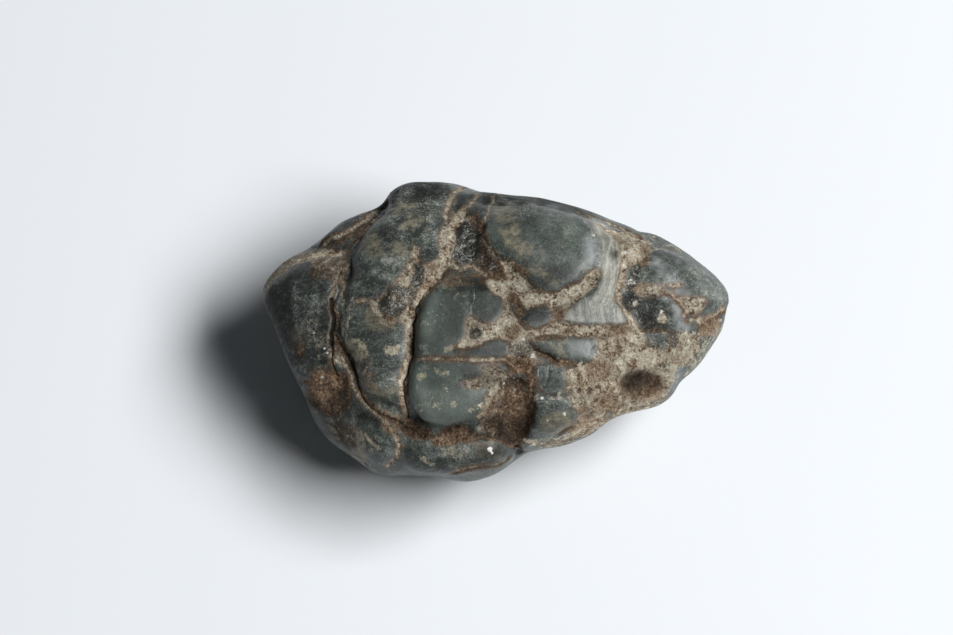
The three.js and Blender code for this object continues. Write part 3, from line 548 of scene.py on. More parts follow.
panels = {
    "dome": {"polish": 0.6, "lift": 0.1, "outline": [(498, 196), (530, 197), (560, 203), (573, 208), (580, 216),
        (588, 226), (594, 238), (596, 252), (597, 265), (590, 270), (582, 272), (578, 279), (570, 284), (562, 287),
        (556, 285), (552, 279), (545, 273), (536, 268), (528, 266), (516, 264), (512, 260), (504, 261), (497, 255),
        (490, 247), (484, 237), (486, 218), (492, 204)]},
    "shield": {"polish": 0.8, "lift": 0.16, "outline": [(474, 281), (486, 284), (489, 290), (493, 295), (500, 296),
        (503, 300), (504, 307), (502, 313), (499, 318), (495, 323), (490, 325), (483, 322), (476, 319), (470, 317),
        (472, 300)]},
    "face": {"polish": 1.0, "lift": 0.1, "outline": [(432, 292), (445, 290), (458, 287), (472, 284), (471, 300),
        (469, 310), (467, 318), (465, 330), (465, 337), (459, 344), (454, 348), (454, 357), (430, 358), (415, 357),
        (416, 340), (416, 320), (421, 303)]},
    "long shield": {"polish": 0.8, "lift": 0.14, "outline": [(456, 350), (462, 348), (475, 347), (482, 345),
        (490, 341), (498, 339), (505, 341), (509, 346), (509, 358), (490, 358), (470, 358), (455, 357)]},
    "lower face": {"polish": 1.0, "lift": 0.1, "outline": [(415, 361), (440, 361), (470, 362), (484, 362),
        (484, 368), (480, 374), (462, 377), (458, 382), (464, 388), (478, 390), (486, 388), (485, 400), (482, 411),
        (474, 420), (460, 424), (440, 430), (425, 430), (412, 418), (408, 404), (409, 388), (411, 374)]},
    "dark lens": {"polish": 0.6, "lift": 0.12, "outline": [(526, 272), (534, 270), (545, 275), (552, 281),
        (558, 287), (560, 290), (556, 293), (547, 293), (538, 290), (531, 284), (527, 278)]},
    "low lens": {"polish": 0.6, "lift": 0.12, "outline": [(528, 311), (538, 308), (545, 304), (550, 307), (552, 313),
        (550, 320), (545, 326), (538, 329), (529, 329), (524, 324), (523, 317)]},
    "mauve shield": {"polish": 1.0, "lift": 0.2, "outline": [(533, 342), (540, 338), (556, 339), (575, 337),
        (598, 338), (599, 342), (592, 350), (592, 358), (586, 361), (570, 361), (560, 358), (550, 354), (540, 349),
        (534, 346)]},
    "striped panel": {"polish": 0.6, "lift": 0.12, "outline": [(563, 319), (562, 312), (570, 306), (578, 301),
        (586, 294), (594, 288), (600, 280), (600, 262), (597, 244), (590, 229), (580, 216), (590, 219), (602, 227),
        (611, 238), (611, 252), (619, 256), (620, 272), (616, 286), (614, 298), (621, 306), (626, 318), (627, 323),
        (600, 323), (578, 323)]},
    "small panel": {"polish": 0.2, "lift": 0.14, "outline": [(534, 365), (545, 363), (552, 363), (563, 369),
        (568, 380), (567, 390), (563, 395), (550, 395), (541, 393), (536, 385), (533, 375)]},
    "lower lobe": {"lift": 0.1, "outline": [(535, 399), (552, 397), (566, 399), (576, 408), (575, 418), (568, 426),
        (556, 433), (540, 435), (533, 428), (535, 412)]},
    "right end": {"lift": 0.1, "outline": [(652, 250), (664, 247), (680, 251), (700, 261), (718, 276), (727, 292),
        (732, 305), (720, 306), (709, 306), (705, 297), (690, 295), (683, 292), (685, 284), (676, 281), (670, 284),
        (662, 285), (650, 285), (645, 280), (645, 268), (649, 258)]},
    "right dent": {"crusted": True, "lift": -0.1, "outline": [(641, 299), (650, 299), (660, 297), (668, 295),
        (672, 301), (680, 309), (683, 319), (688, 327), (682, 330), (668, 329), (655, 329), (646, 329), (641, 321),
        (638, 312), (639, 304)]},
    "toe": {"lift": 0.0, "outline": [(436, 446), (456, 442), (480, 440), (500, 442), (512, 450), (504, 462),
        (486, 466), (462, 468), (440, 464), (428, 456)]},
}

roughPlaces = {  # how much more mottled the skin is, and where
    "top knob": (0.9, [(386, 204), (392, 190), (404, 182), (424, 179), (450, 184), (450, 200), (430, 206),
        (408, 208)]),
    "upper lobe": (0.5, [(384, 212), (430, 206), (440, 226), (438, 256), (400, 260), (378, 256), (376, 236)]),
    "dome crown": (1.0, [(490, 196), (524, 197), (548, 202), (546, 212), (524, 222), (500, 224)]),
    "left shoulder": (0.4, [(272, 290), (300, 268), (326, 280), (330, 366), (306, 376), (284, 330)]),
    "crest band": (0.9, [(480, 192), (530, 195), (566, 201), (592, 211), (604, 219), (580, 218), (556, 211),
        (530, 208), (500, 207), (482, 205)]),
    "right dent": (0.9, [(634, 296), (662, 295), (672, 304), (673, 331), (642, 331), (634, 312)]),
    "left rim": (0.8, [(262, 300), (272, 282), (296, 272), (300, 300), (296, 340), (310, 376), (296, 376),
        (272, 334)]),
    "ridge cap": (0.9, [(312, 250), (344, 221), (386, 202), (390, 210), (360, 226), (328, 246)]),
}

tanClouds = {
    "knob tan": [(391, 208), (397, 205), (405, 205), (414, 203), (415, 206), (408, 210), (398, 213), (391, 212)],
    "upper tan": [(410, 214), (420, 213), (424, 219), (418, 226), (408, 226), (402, 228), (398, 224), (408, 220)],
    "crest tan": [(392, 243), (404, 242), (408, 250), (402, 256), (392, 252)],
    "left tan": [(366, 236), (376, 234), (382, 244), (384, 256), (372, 256), (362, 248)],
    "crown tan": [(494, 206), (512, 204), (516, 214), (508, 222), (496, 220)],
    "dome tan": [(500, 230), (512, 226), (520, 238), (532, 250), (526, 258), (508, 246)],
    "dome tan stem": [(514, 222), (519, 222), (520, 250), (516, 258), (513, 246)],
    "lens tan": [(526, 267), (542, 268), (556, 279), (560, 286), (550, 283), (538, 274), (528, 272)],
    "band foot tan": [(364, 376), (372, 380), (380, 390), (396, 386), (398, 392), (384, 398), (372, 396),
        (364, 386)],
    "band top tan": [(366, 306), (378, 316), (384, 328), (376, 332), (366, 322)],
    "face vein tan": [(440, 268), (456, 272), (462, 286), (450, 290), (440, 284)],
    "lower lobe tan": [(548, 412), (566, 412), (572, 424), (556, 434), (540, 430)],
    "toe tan": [(470, 440), (486, 440), (500, 452), (496, 460), (476, 456)],
    "spot left": [(288, 334), (300, 328), (306, 334), (300, 344), (292, 342)],
    "mauve foot": [(552, 344), (560, 338), (562, 348), (566, 356), (556, 352)],
    "below branch tan": [(376, 408), (390, 410), (400, 416), (396, 420), (384, 415)],
    "fan tan": [(598, 222), (612, 232), (622, 248), (622, 280), (616, 302), (604, 298), (604, 262)],
}

lightClouds = {
    "upper streak": [(418, 233), (430, 231), (441, 234), (441, 240), (428, 240)],
    "upper streak low": [(424, 242), (440, 242), (440, 248), (430, 247)],
    "dome cloud": [(552, 214), (572, 218), (580, 234), (566, 236), (554, 226)],
    "low face cloud": [(424, 392), (440, 388), (462, 400), (452, 414), (430, 412)],
    # toe cloud: the toe's paler jade with a soft painted highlight
    "toe cloud": [(432, 446), (452, 443), (474, 450), (470, 458), (448, 460)],
    "band foot cloud": [(372, 378), (398, 376), (400, 384), (380, 388)],
    "shield cloud": [(484, 294), (496, 294), (498, 310), (488, 314)],
    # painted highlight: the sheen along the right end
    "right end shine": [(690, 268), (706, 272), (718, 288), (722, 300), (708, 298), (696, 286)],
    "crown blotch": [(500, 204), (512, 202), (518, 212), (508, 218), (499, 213)],
    "crown blotch two": [(520, 196), (534, 198), (538, 208), (526, 210)],
    "dome blotch": [(540, 216), (556, 222), (552, 234), (540, 230)],
    "dome blotch low": [(556, 250), (568, 256), (566, 270), (556, 266)],
    "lobe blotch one": [(420, 212), (432, 214), (434, 226), (423, 224)],
    "lobe blotch two": [(426, 224), (437, 228), (438, 238), (428, 235)],
    "lobe blotch three": [(380, 258), (396, 256), (410, 261), (404, 270), (386, 268)],
    "lobe blotch four": [(370, 262), (378, 264), (380, 276), (372, 274)],
    "lobe blotch five": [(384, 276), (400, 273), (400, 283), (388, 286)],
    "lobe blotch six": [(392, 222), (406, 228), (402, 238), (393, 232)],
    "knob blotch": [(404, 187), (412, 185), (414, 194), (406, 197)],
}

# Mostly painted glints, small white highlights on the polish, with some white chips of the stone.
glintsAndWhiteChips = {  # x, y and radius in pixels
    "dome glint": (593, 235.5, 1.7),
    "band glint": (630.5, 279.5, 1.6),
    "toe glint": (490, 449.5, 2.8),
    "toe glint foot": (492, 453, 1.4),
    "left low glint": (315.5, 412, 1.2),
    "upper glint": (437, 229, 1.1),
    "upper glint foot": (436.5, 249, 1.0),
    "stem glint": (523.5, 339, 2.0),
    "stem chip": (533, 356, 2.6),
    "hole glint": (476, 333.5, 1.6),
    "hole glint left": (471.5, 338, 1.2),
    "patch glint": (459.5, 261, 1.2),
    "patch glint top": (467.5, 229, 0.9),
    "hollow glint": (506.5, 384, 1.3),
    "lobe glint": (542, 398, 1.8),
    "shoulder glint": (324.5, 348.5, 1.3),
    "shoulder glint low": (327.5, 353, 1.4),
    "fan glint": (626, 252, 1.6),
    "thread glint": (661.5, 312, 1.6),
    "left hollow glint": (321, 378, 1.6),
    "branch glint": (353.5, 384, 1.2),
    "lobe light": (564, 414, 2.0),
    "lobe light left": (547, 420, 1.4),
    "shoulder glint top": (314, 333, 1.0),
}

threads = {
    "web one": {"wide": 1.2, "path": [(342, 300), (345, 308), (344, 318), (347, 330), (350, 340)]},
    "web two": {"wide": 1.2, "path": [(341, 330), (346, 320), (352, 310), (354, 300)]},
    "web three": {"wide": 1.2, "path": [(340, 310), (348, 304), (358, 300)]},
    "web four": {"wide": 1.2, "path": [(342, 326), (346, 335), (344, 344)]},
    "crest thread": {"wide": 1.0, "path": [(355, 246), (362, 237), (368, 229), (376, 221), (386, 215)]},
    "knob thread": {"wide": 1.1, "path": [(400, 207), (414, 204), (428, 203), (442, 205)]},
    "knob thread top": {"wide": 0.8, "path": [(412, 186), (416, 192), (422, 198)]},
    "patch thread": {"wide": 1.0, "path": [(462, 232), (466, 242), (470, 252), (475, 260)]},
    "patch thread low": {"wide": 1.1, "path": [(458, 263), (464, 256), (472, 256), (477, 262)]},
    "shoulder thread": {"wide": 0.9, "path": [(300, 352), (306, 346), (312, 340), (314, 332)]},
    "shoulder thread low": {"wide": 0.9, "path": [(306, 352), (312, 357), (316, 364), (322, 368)]},
    "panel thread": {"wide": 1.1, "path": [(572, 307), (574, 314), (576, 321)]},
    "panel thread two": {"wide": 1.0, "path": [(585, 296), (587, 306), (590, 316)]},
    "mauve thread": {"wide": 0.9, "path": [(556, 340), (561, 349), (568, 358)]},
    "fan thread": {"wide": 1.2, "path": [(600, 232), (602, 240), (604, 248), (602, 258)]},
    "lobe thread": {"wide": 0.9, "path": [(537, 366), (539, 376), (542, 388)]},
    "toe thread": {"wide": 1.0, "path": [(347, 446), (354, 454), (364, 458), (369, 464)]},
    "toe thread low": {"wide": 1.0, "path": [(352, 452), (358, 462), (366, 470)]},
    "fan thread left": {"wide": 1.0, "path": [(599, 236), (596, 244), (596, 254)]},
    "fan arc": {"wide": 1.3, "path": [(610, 247), (612, 241), (617, 240), (621, 246), (621, 256), (617, 266),
        (613, 280), (610, 296)]},
    "fan arc low": {"wide": 1.1, "path": [(611, 262), (607, 272), (605, 284), (603, 294)]},
    "fan arc right": {"wide": 1.1, "path": [(620, 262), (618, 274), (615, 286), (613, 298)]},
    "rim thread": {"wide": 1.4, "path": [(588, 216), (593, 221), (597, 226)]},
    "rim thread low": {"wide": 1.4, "path": [(601, 221), (606, 225), (612, 231), (617, 237)]},
    "panel thread three": {"wide": 1.2, "path": [(594, 298), (595, 308), (596, 320)]},
    "panel thread four": {"wide": 1.2, "path": [(604, 300), (605, 311), (606, 321)]},
    "upper streak": {"wide": 1.2, "path": [(430, 232), (436, 234), (442, 236)]},
    "upper streak low": {"wide": 1.2, "path": [(430, 243), (436, 243), (441, 245)]},
    "face vein": {"wide": 1.3, "path": [(474, 284), (473, 296), (472, 306), (470, 315)]},
    "second vein light": {"wide": 2.8, "path": [(494, 198), (491, 206), (487, 216), (484.5, 227)]},
    "short vein light": {"wide": 1.8, "path": [(481, 195), (476, 199), (472, 205)]},
    "upright vein light": {"wide": 2.2, "path": [(472, 189.5), (462, 190), (455, 193), (451, 200), (448, 208),
        (446, 218), (445, 230), (444, 246)]},
    "thin hook light": {"wide": 1.6, "path": [(482, 238), (488, 246), (496, 257), (503, 262)]},
    "toe speck": {"wide": 3.0, "path": [(365, 433), (369, 438), (372, 442)]},
    "toe speck foot": {"wide": 3.4, "path": [(374, 443), (377, 447), (381, 450)]},
    "fan thread wide": {"wide": 2.2, "path": [(606, 232), (611, 238), (609, 250), (606, 262), (606, 276)]},
    "fan thread low": {"wide": 1.6, "path": [(612, 266), (611, 280), (607, 296)]},
}

# Mostly the jade's own lighter and darker parts. Some patches are painted light that brightens places the relief
# leaves in shade, painted shade over the sheen, or a painted highlight, as noted at each.
toneAndPaintedLightPatches = {  # how much lighter or darker a part is, and where
    "lens": (-0.5, [(516, 270), (526, 269), (540, 272), (552, 281), (558, 290), (546, 294), (534, 288), (526, 278)]),
    "low lens": (-0.72, [(519, 312), (528, 307), (542, 306), (552, 310), (552, 318), (544, 324), (530, 325),
        (521, 320)]),
    "shield": (-0.5, [(476, 280), (487, 286), (490, 295), (501, 296), (504, 308), (497, 319), (488, 323), (478, 321),
        (470, 316), (474, 300)]),
    "long shield": (-0.65, [(455, 350), (476, 348), (502, 341), (509, 344), (508, 357), (480, 358), (458, 357)]),
    "mauve shield": (0.0, [(546, 341), (560, 337), (584, 336), (598, 337), (599, 342), (591, 357), (583, 362),
        (568, 358), (556, 354), (542, 348)]),
    "small panel": (0.02, [(534, 366), (544, 364), (566, 367), (568, 380), (567, 391), (558, 394), (544, 394),
        (535, 388)]),
    # right dent: dark jade, with painted shade on its side that faces away from the light
    "right dent": (-0.62, [(632, 296), (650, 293), (664, 296), (671, 303), (673, 314), (673, 331), (656, 333),
        (642, 328), (634, 312)]),
    "heel": (-0.5, [(336, 243), (346, 238), (353, 240), (348, 250), (338, 250)]),
    "dome left": (-0.1, [(492, 242), (502, 240), (512, 254), (508, 264), (498, 258)]),
    "dome heart": (-0.65, [(520, 258), (528, 255), (530, 266), (520, 268)]),
    "top knob": (-0.47, [(388, 202), (392, 190), (404, 183), (424, 181), (444, 184), (456, 188), (450, 198),
        (430, 200), (408, 202)]),
    "between veins": (-0.75, [(458, 194), (474, 192), (474, 200), (466, 206), (458, 212), (452, 214)]),
    "beside vein": (-0.1, [(478, 197), (490, 198), (484, 214), (480, 230), (472, 224), (472, 208)]),
    # dome crown: the crest band's darker jade, darkened further as painted shade over the sheen along the crest
    "dome crown": (-0.75, [(484, 193), (530, 195), (566, 201), (592, 211), (602, 219), (580, 217), (556, 210),
        (530, 207), (500, 206), (484, 204)]),
    "dome foot": (-0.45, [(536, 262), (582, 262), (574, 284), (544, 284)]),
    "lower lobe": (-0.2, [(536, 398), (552, 396), (566, 399), (577, 410), (574, 424), (556, 434), (536, 436),
        (530, 424)]),
    "left shoulder": (-0.3, [(266, 292), (282, 274), (306, 266), (324, 278), (328, 300), (330, 340), (328, 366),
        (310, 376), (296, 366), (280, 332)]),
    "band top": (-0.05, [(346, 272), (358, 258), (392, 262), (396, 280), (376, 290), (352, 296)]),
    "band middle": (-0.4, [(376, 358), (402, 358), (400, 382), (374, 380)]),
    "upper band": (-0.15, [(358, 244), (372, 228), (386, 222), (388, 240), (380, 252), (362, 256)]),
    "right of crest": (-0.4, [(424, 250), (436, 244), (440, 258), (430, 262), (422, 262)]),
    "low band": (-0.6, [(356, 392), (366, 408), (388, 420), (380, 428), (356, 420), (344, 412), (352, 402)]),
    "lower face": (0.2, [(420, 372), (440, 364), (470, 366), (482, 380), (476, 404), (460, 420), (432, 424),
        (416, 410), (412, 388)]),
    "upper left": (-0.1, [(396, 212), (430, 208), (442, 226), (436, 246), (408, 250), (386, 240)]),
    "grey green": (0.05, [(364, 434), (384, 424), (398, 436), (396, 456), (380, 464), (366, 450)]),
    "fan": (-0.06, [(590, 216), (606, 222), (620, 244), (622, 280), (614, 300), (600, 296), (598, 262), (592, 236)]),
    "fan crust": (0.12, [(612, 228), (632, 230), (652, 238), (650, 256), (640, 268), (630, 272), (628, 300),
        (636, 322), (628, 326), (618, 306), (614, 286), (618, 262), (614, 246)]),
    "triangle": (-0.05, [(678, 294), (706, 296), (706, 306), (692, 320), (682, 314)]),
    "upright vein": (0.15, [(440, 222), (448, 212), (466, 206), (470, 220), (456, 230), (456, 268), (440, 266)]),
    "base edge": (0.6, [(524, 440), (560, 434), (600, 414), (640, 404), (668, 396), (664, 406), (606, 426),
        (560, 446), (530, 450)]),
    "knot": (-0.4, [(308, 262), (346, 256), (350, 270), (336, 282), (308, 278)]),
    "lower right": (0.02, [(600, 340), (720, 318), (716, 346), (690, 376), (640, 362), (620, 390), (590, 430),
        (574, 420), (574, 368)]),
    "toe": (-0.33, [(404, 440), (440, 446), (500, 446), (516, 452), (500, 466), (440, 474), (404, 466)]),
    "fan eye": (-0.6, [(610, 254), (616, 249), (620, 253), (617, 260), (611, 261)]),
    "heel lens": (0.0, [(316, 243), (330, 236), (348, 228), (356, 232), (346, 240), (330, 246)]),
    "rim light": (0.7, [(262, 290), (268, 278), (277, 267), (290, 258), (306, 252), (322, 250), (350, 251),
        (350, 258), (324, 259), (308, 262), (294, 267), (283, 275), (273, 285), (266, 294)]),
    "hollow column": (0.1, [(510, 396), (524, 392), (528, 402), (526, 424), (520, 442), (512, 440), (507, 420)]),
    "left hollow light": (0.9, [(306, 380), (326, 366), (336, 374), (334, 398), (320, 404), (308, 400)]),
    "left hollow low": (0.1, [(306, 402), (334, 398), (350, 400), (344, 414), (326, 418), (310, 410)]),
    "groove light": (0.3, [(430, 430), (446, 424), (458, 430), (460, 442), (440, 444)]),
    # painted light: lightens the face's left edge, which the relief leaves in shade
    "face left painted light": (0.8, [(418, 300), (428, 288), (440, 290), (438, 320), (434, 338), (417, 338), (416, 320)]),
    # painted light: lightens the lower face's left edge, which the relief leaves in shade
    "lower face left painted light": (0.5, [(414, 362), (428, 362), (426, 390), (430, 412), (444, 424), (424, 431), (410, 416),
        (407, 396), (410, 376)]),
    "band left": (-0.38, [(362, 278), (386, 282), (396, 318), (392, 342), (364, 340)]),
    "fissure foot light": (0.7, [(400, 372), (412, 376), (412, 400), (414, 422), (403, 420), (398, 400)]),
    "band foot": (0.8, [(376, 400), (400, 404), (404, 420), (390, 418), (376, 410)]),
    "fissure side": (-0.4, [(318, 282), (332, 280), (331, 300), (331, 344), (330, 372), (322, 372), (318, 344),
        (316, 310)]),
    "beside black": (-0.15, [(470, 214), (484, 226), (487, 244), (500, 264), (500, 280), (484, 276), (476, 250)]),
    "above face": (-0.65, [(444, 270), (466, 266), (484, 276), (490, 292), (470, 294), (444, 292)]),
    "lip shade": (-0.45, [(456, 364), (484, 362), (506, 366), (528, 376), (522, 392), (500, 392), (486, 388),
        (460, 388)]),
    "groove end": (-0.35, [(464, 418), (490, 412), (508, 420), (512, 436), (490, 438), (466, 432)]),
    "toe end": (-0.4, [(474, 440), (502, 444), (508, 456), (490, 461), (476, 456)]),
    "crack side": (0.5, [(480, 212), (492, 212), (492, 238), (484, 244)]),
    "rim end": (0.35, [(592, 216), (612, 222), (624, 236), (612, 238), (598, 228)]),
    "crest foot": (0.3, [(404, 340), (412, 340), (410, 376), (402, 376)]),
    "dome dark": (-0.25, [(545, 202), (566, 206), (574, 216), (560, 218), (548, 212)]),
    "lobe dark": (-0.42, [(380, 222), (392, 218), (398, 230), (394, 250), (380, 258), (374, 244)]),
    "lobe dark low": (-0.3, [(420, 244), (436, 246), (438, 258), (424, 260)]),
    # painted light: lightens the valley beside the left fissure, which the relief shades
    "web ground painted light": (1.0, [(340, 302), (352, 300), (354, 322), (352, 338), (345, 340), (341, 326)]),
    "dome crown side": (-0.05, [(500, 208), (540, 210), (580, 220), (586, 236), (580, 252), (560, 240), (530, 226),
        (504, 216)]),
    "dome low": (0.0, [(518, 236), (560, 236), (572, 262), (556, 278), (530, 262)]),
    "dome upper left": (-0.22, [(500, 206), (540, 208), (550, 228), (520, 236), (500, 226)]),
    "hollow side": (-0.15, [(484, 416), (508, 410), (508, 436), (488, 432), (474, 424)]),
    "right hollow side": (-0.35, [(612, 372), (640, 370), (652, 382), (642, 400), (622, 398)]),
    "band foot shade": (-0.3, [(556, 298), (578, 298), (580, 312), (562, 320), (554, 312)]),
    "fan crust top": (-0.1, [(614, 230), (636, 232), (640, 248), (624, 256), (616, 246)]),
    "stem shade": (-0.25, [(514, 338), (534, 338), (536, 358), (518, 360)]),
    "network top": (-0.25, [(500, 278), (526, 282), (540, 296), (520, 300), (504, 292)]),
    "face middle": (-0.25, [(444, 290), (472, 284), (468, 320), (464, 338), (444, 340)]),
    # painted shade: darkens the left edge over the sheen it takes there
    "skin edge painted shade": (-0.3, [(258, 292), (270, 284), (290, 300), (298, 350), (304, 384), (296, 390), (280, 350),
        (262, 310)]),
    "hollow foot": (-0.45, [(498, 416), (522, 416), (526, 436), (516, 446), (500, 440)]),
    "toe left": (0.3, [(392, 438), (444, 442), (446, 458), (404, 462), (390, 456)]),
    "hollow wall top": (0.5, [(520, 380), (536, 380), (538, 400), (524, 400)]),
    "small panel edge": (0.2, [(560, 362), (596, 362), (596, 396), (566, 396)]),
    "striped end": (0.2, [(596, 298), (614, 300), (626, 322), (592, 322)]),
    "fan top": (0.55, [(588, 216), (604, 219), (614, 232), (602, 234)]),
    "dome edge": (0.35, [(484, 222), (500, 226), (510, 250), (520, 270), (504, 272), (488, 250)]),
    "knob right": (-0.3, [(416, 182), (442, 184), (442, 200), (418, 200)]),
    "lobe side": (0.35, [(640, 262), (660, 262), (662, 280), (640, 282)]),
    "pit side": (0.5, [(422, 420), (440, 424), (440, 438), (424, 438)]),
    "pit shade": (-0.3, [(400, 418), (420, 420), (420, 436), (402, 432)]),
    "low face light": (0.35, [(418, 384), (476, 388), (480, 404), (466, 420), (436, 424), (418, 408)]),
    "left foot": (-0.3, [(306, 400), (338, 402), (342, 440), (322, 434)]),
    "knob mottle": (0.12, [(392, 190), (404, 184), (424, 182), (424, 200), (400, 204)]),
    "fissure foot side": (-0.25, [(356, 376), (380, 376), (376, 400), (360, 396)]),
    # painted highlight: the broad sheen on the dome's right flank
    "dome shoulder painted highlight": (0.42, [(562, 226), (584, 222), (598, 240), (598, 268), (580, 272), (564, 262)]),
    "lobe top light": (0.35, [(536, 396), (552, 393), (570, 397), (572, 406), (552, 406), (536, 405)]),
    "dent top shade": (-0.12, [(636, 284), (662, 284), (676, 292), (668, 300), (640, 300)]),
    "right speckles": (0.4, [(630, 262), (648, 262), (650, 284), (634, 286)]),
    "right end": (0.14, [(652, 256), (690, 258), (704, 272), (690, 284), (656, 284)]),
    "crest light": (-0.28, [(384, 250), (406, 248), (408, 274), (388, 278), (380, 264)]),
    # left rim: darker, partly painted shade over the sheen along the left edge
    "left rim": (-0.2, [(264, 290), (284, 280), (294, 290), (292, 322), (268, 322)]),
    # painted light: lightens the shade below the left branch
    "branch foot painted light": (0.55, [(340, 352), (352, 356), (362, 380), (364, 398), (352, 392), (342, 372)]),
    # painted light: lightens the shade along the lower face's left edge
    "lower face edge": (0.25, [(398, 372), (413, 372), (413, 412), (400, 412)]),
    "hollow top": (0.55, [(500, 372), (536, 372), (536, 394), (506, 396)]),
    "face top": (0.35, [(438, 270), (482, 270), (484, 290), (440, 290)]),
    "lobe shoulder": (-0.25, [(538, 380), (562, 380), (562, 398), (538, 398)]),
    "second hollow": (-0.3, [(470, 193), (490, 193), (492, 214), (472, 216)]),
    "right low": (-0.18, [(655, 334), (690, 334), (692, 360), (656, 362)]),
    "toe plane": (-0.12, [(364, 424), (394, 424), (396, 462), (372, 460)]),
    "low patch": (-0.15, [(463, 372), (492, 372), (490, 392), (466, 392)]),
    "sparkle foot": (-0.35, [(464, 240), (482, 244), (502, 268), (500, 280), (482, 280), (466, 258)]),
    # painted light: lightens the shade along the lower face's left edge
    "lower face side painted light": (0.8, [(408, 370), (420, 370), (421, 416), (411, 416)]),
    "face corner": (0.3, [(418, 276), (438, 272), (438, 298), (420, 300)]),
    "toe right": (-0.2, [(478, 440), (520, 438), (520, 456), (480, 458)]),
    "hole side": (-0.25, [(458, 316), (482, 318), (480, 338), (460, 338)]),
    "stem top": (-0.25, [(500, 296), (520, 298), (520, 318), (502, 316)]),
    "right black side": (0.35, [(622, 260), (641, 262), (641, 300), (624, 302)]),
    "lower crust": (0.25, [(598, 378), (622, 378), (622, 418), (600, 418)]),
    "under branch": (-0.28, [(358, 400), (382, 404), (384, 424), (362, 424)]),
    "left low": (-0.3, [(320, 420), (342, 422), (342, 440), (324, 440)]),
    "second slope": (0.3, [(480, 218), (499, 221), (498, 240), (483, 238)]),
    # painted light: lightens the valley right of the left fissure, which the relief shades
    "beside fissure painted light": (0.25, [(338, 282), (358, 282), (359, 350), (342, 350)]),
    "right hollow heart": (-0.45, [(626, 376), (652, 374), (662, 388), (642, 394), (626, 390)]),
    "heel vein shade": (-0.32, [(322, 250), (345, 231), (372, 214), (384, 206), (387, 214), (360, 233), (335, 248)]),
}

layingSettings = {
    "reach": 3.0,  # mm, the farthest inside or outside a mark that counts
    "kept": 1.5,  # mm, the most of it that an attribute keeps
    "lineMargin": 0.003,  # metres around a line that are measured
    "patchMargin": 15,  # pixels around a patch that are measured
    "stepPixels": 2.5,  # along a line
    "wanderPixels": 7,  # from one bend of a wander to the next
    "veinWander": 1.6,  # pixels to either side
    "threadWander": 2.5,
    "brownWander": 3,
    "fineAroundFissures": 8,  # pixels of finer mesh added to a line's width
    "fineAroundVeins": 4,
    "finestAroundFissures": 1.5,
}
reach, kept = layingSettings["reach"], layingSettings["kept"]

places = vertexValues(stone, "co")
normals = vertexValues(stone, "normal")
faces = [tuple(face.vertices) for face in stone.data.polygons]
skin = BVHTree.FromPolygons([tuple(place) for place in places], faces)


def ontoStone(x, y, far):
    # the place on the stone under a pixel, on the near or the far side
    ray = throughPixel(x, y)
    if far:
        return skin.ray_cast(cameraPlace + ray * cameraSettings["distance"] * 2, -ray)[0]
    return skin.ray_cast(cameraPlace, ray)[0]


def evenPath(path, wander):
    # a smooth line through the given pixels, with a small natural wander
    size = layingSettings["wanderPixels"]
    points = [Vector(point) for point in path]
    points = [points[0] * 2 - points[1]] + points + [points[-1] * 2 - points[-2]]
    line = []
    for start in range(1, len(points) - 2):
        a, b, c, d = points[start - 1:start + 3]
        steps = max(2, int((c - b).length / layingSettings["stepPixels"]))
        for step in range(steps):
            t = step / steps
            curved = (2 * b) + (c - a) * t + (2 * a - 5 * b + 4 * c - d) * t ** 2 + (3 * b - a - 3 * c + d) * t ** 3
            line.append(0.5 * curved)
    line.append(points[-2])
    return [Vector((
        p.x + wander * noise.noise(Vector((p.x / size, p.y / size, 3))),
        p.y + wander * noise.noise(Vector((p.x / size, p.y / size, 9))),
    )) for p in line]


def linesOnStone(marks, wander):
    drawn = {}
    for name, mark in marks.items():
        hits = [ontoStone(p.x, p.y, mark.get("far", False)) for p in evenPath(mark["path"], wander)]
        drawn[name] = [hit for hit in hits if hit is not None]
    return drawn


def distanceTo(points, start, end):
    # from each point to the straight line between two ends
    along = end - start
    share = np.clip((points - start) @ along / max(along @ along, 1e-12), 0, 1)
    return np.linalg.norm(points - start - share[:, None] * along, axis=1)


def lineDepthInside(points, line, wide):
    # how far inside a line of this width each place is, in mm; outside it is negative
    inside = np.full(len(points), -reach)
    path = np.array([tuple(point) for point in line])
    margin = layingSettings["lineMargin"]
    near = np.all((points > path.min(0) - margin) & (points < path.max(0) + margin), axis=1)
    chosen = points[near]
    closest = np.full(len(chosen), 1.0)
    for start, end in zip(path[:-1], path[1:]):
        closest = np.minimum(closest, distanceTo(chosen, start, end))
    inside[near] = np.maximum(-reach, wide * pixelSize / 2 - closest * 1000)
    return inside


def patchDepthInside(pixels, outline, hold):
    # how far inside a patch each place is, in mm, up to its hold
    inside = np.full(len(pixels), -reach)
    ring = np.array(outline, float)
    margin = layingSettings["patchMargin"]
    near = np.all((pixels > ring.min(0) - margin) & (pixels < ring.max(0) + margin), axis=1)
    chosen = pixels[near]
    closest = np.full(len(chosen), 1e3)
    within = np.zeros(len(chosen), bool)
    for start, end in zip(ring, np.roll(ring, -1, axis=0)):
        closest = np.minimum(closest, distanceTo(chosen, start, end))
        crosses = (start[1] > chosen[:, 1]) != (end[1] > chosen[:, 1])
        rise = end[1] - start[1] if end[1] != start[1] else 1e-9
        within ^= crosses & (chosen[:, 0] < (end[0] - start[0]) * (chosen[:, 1] - start[1]) / rise + start[0])
    inside[near] = np.minimum(np.where(within, closest, -closest) * pixelSize, hold)
    return inside


def smooth(values, low, high):
    share = np.clip((values - low) / (high - low), 0, 1)
    return share * share * (3 - 2 * share)


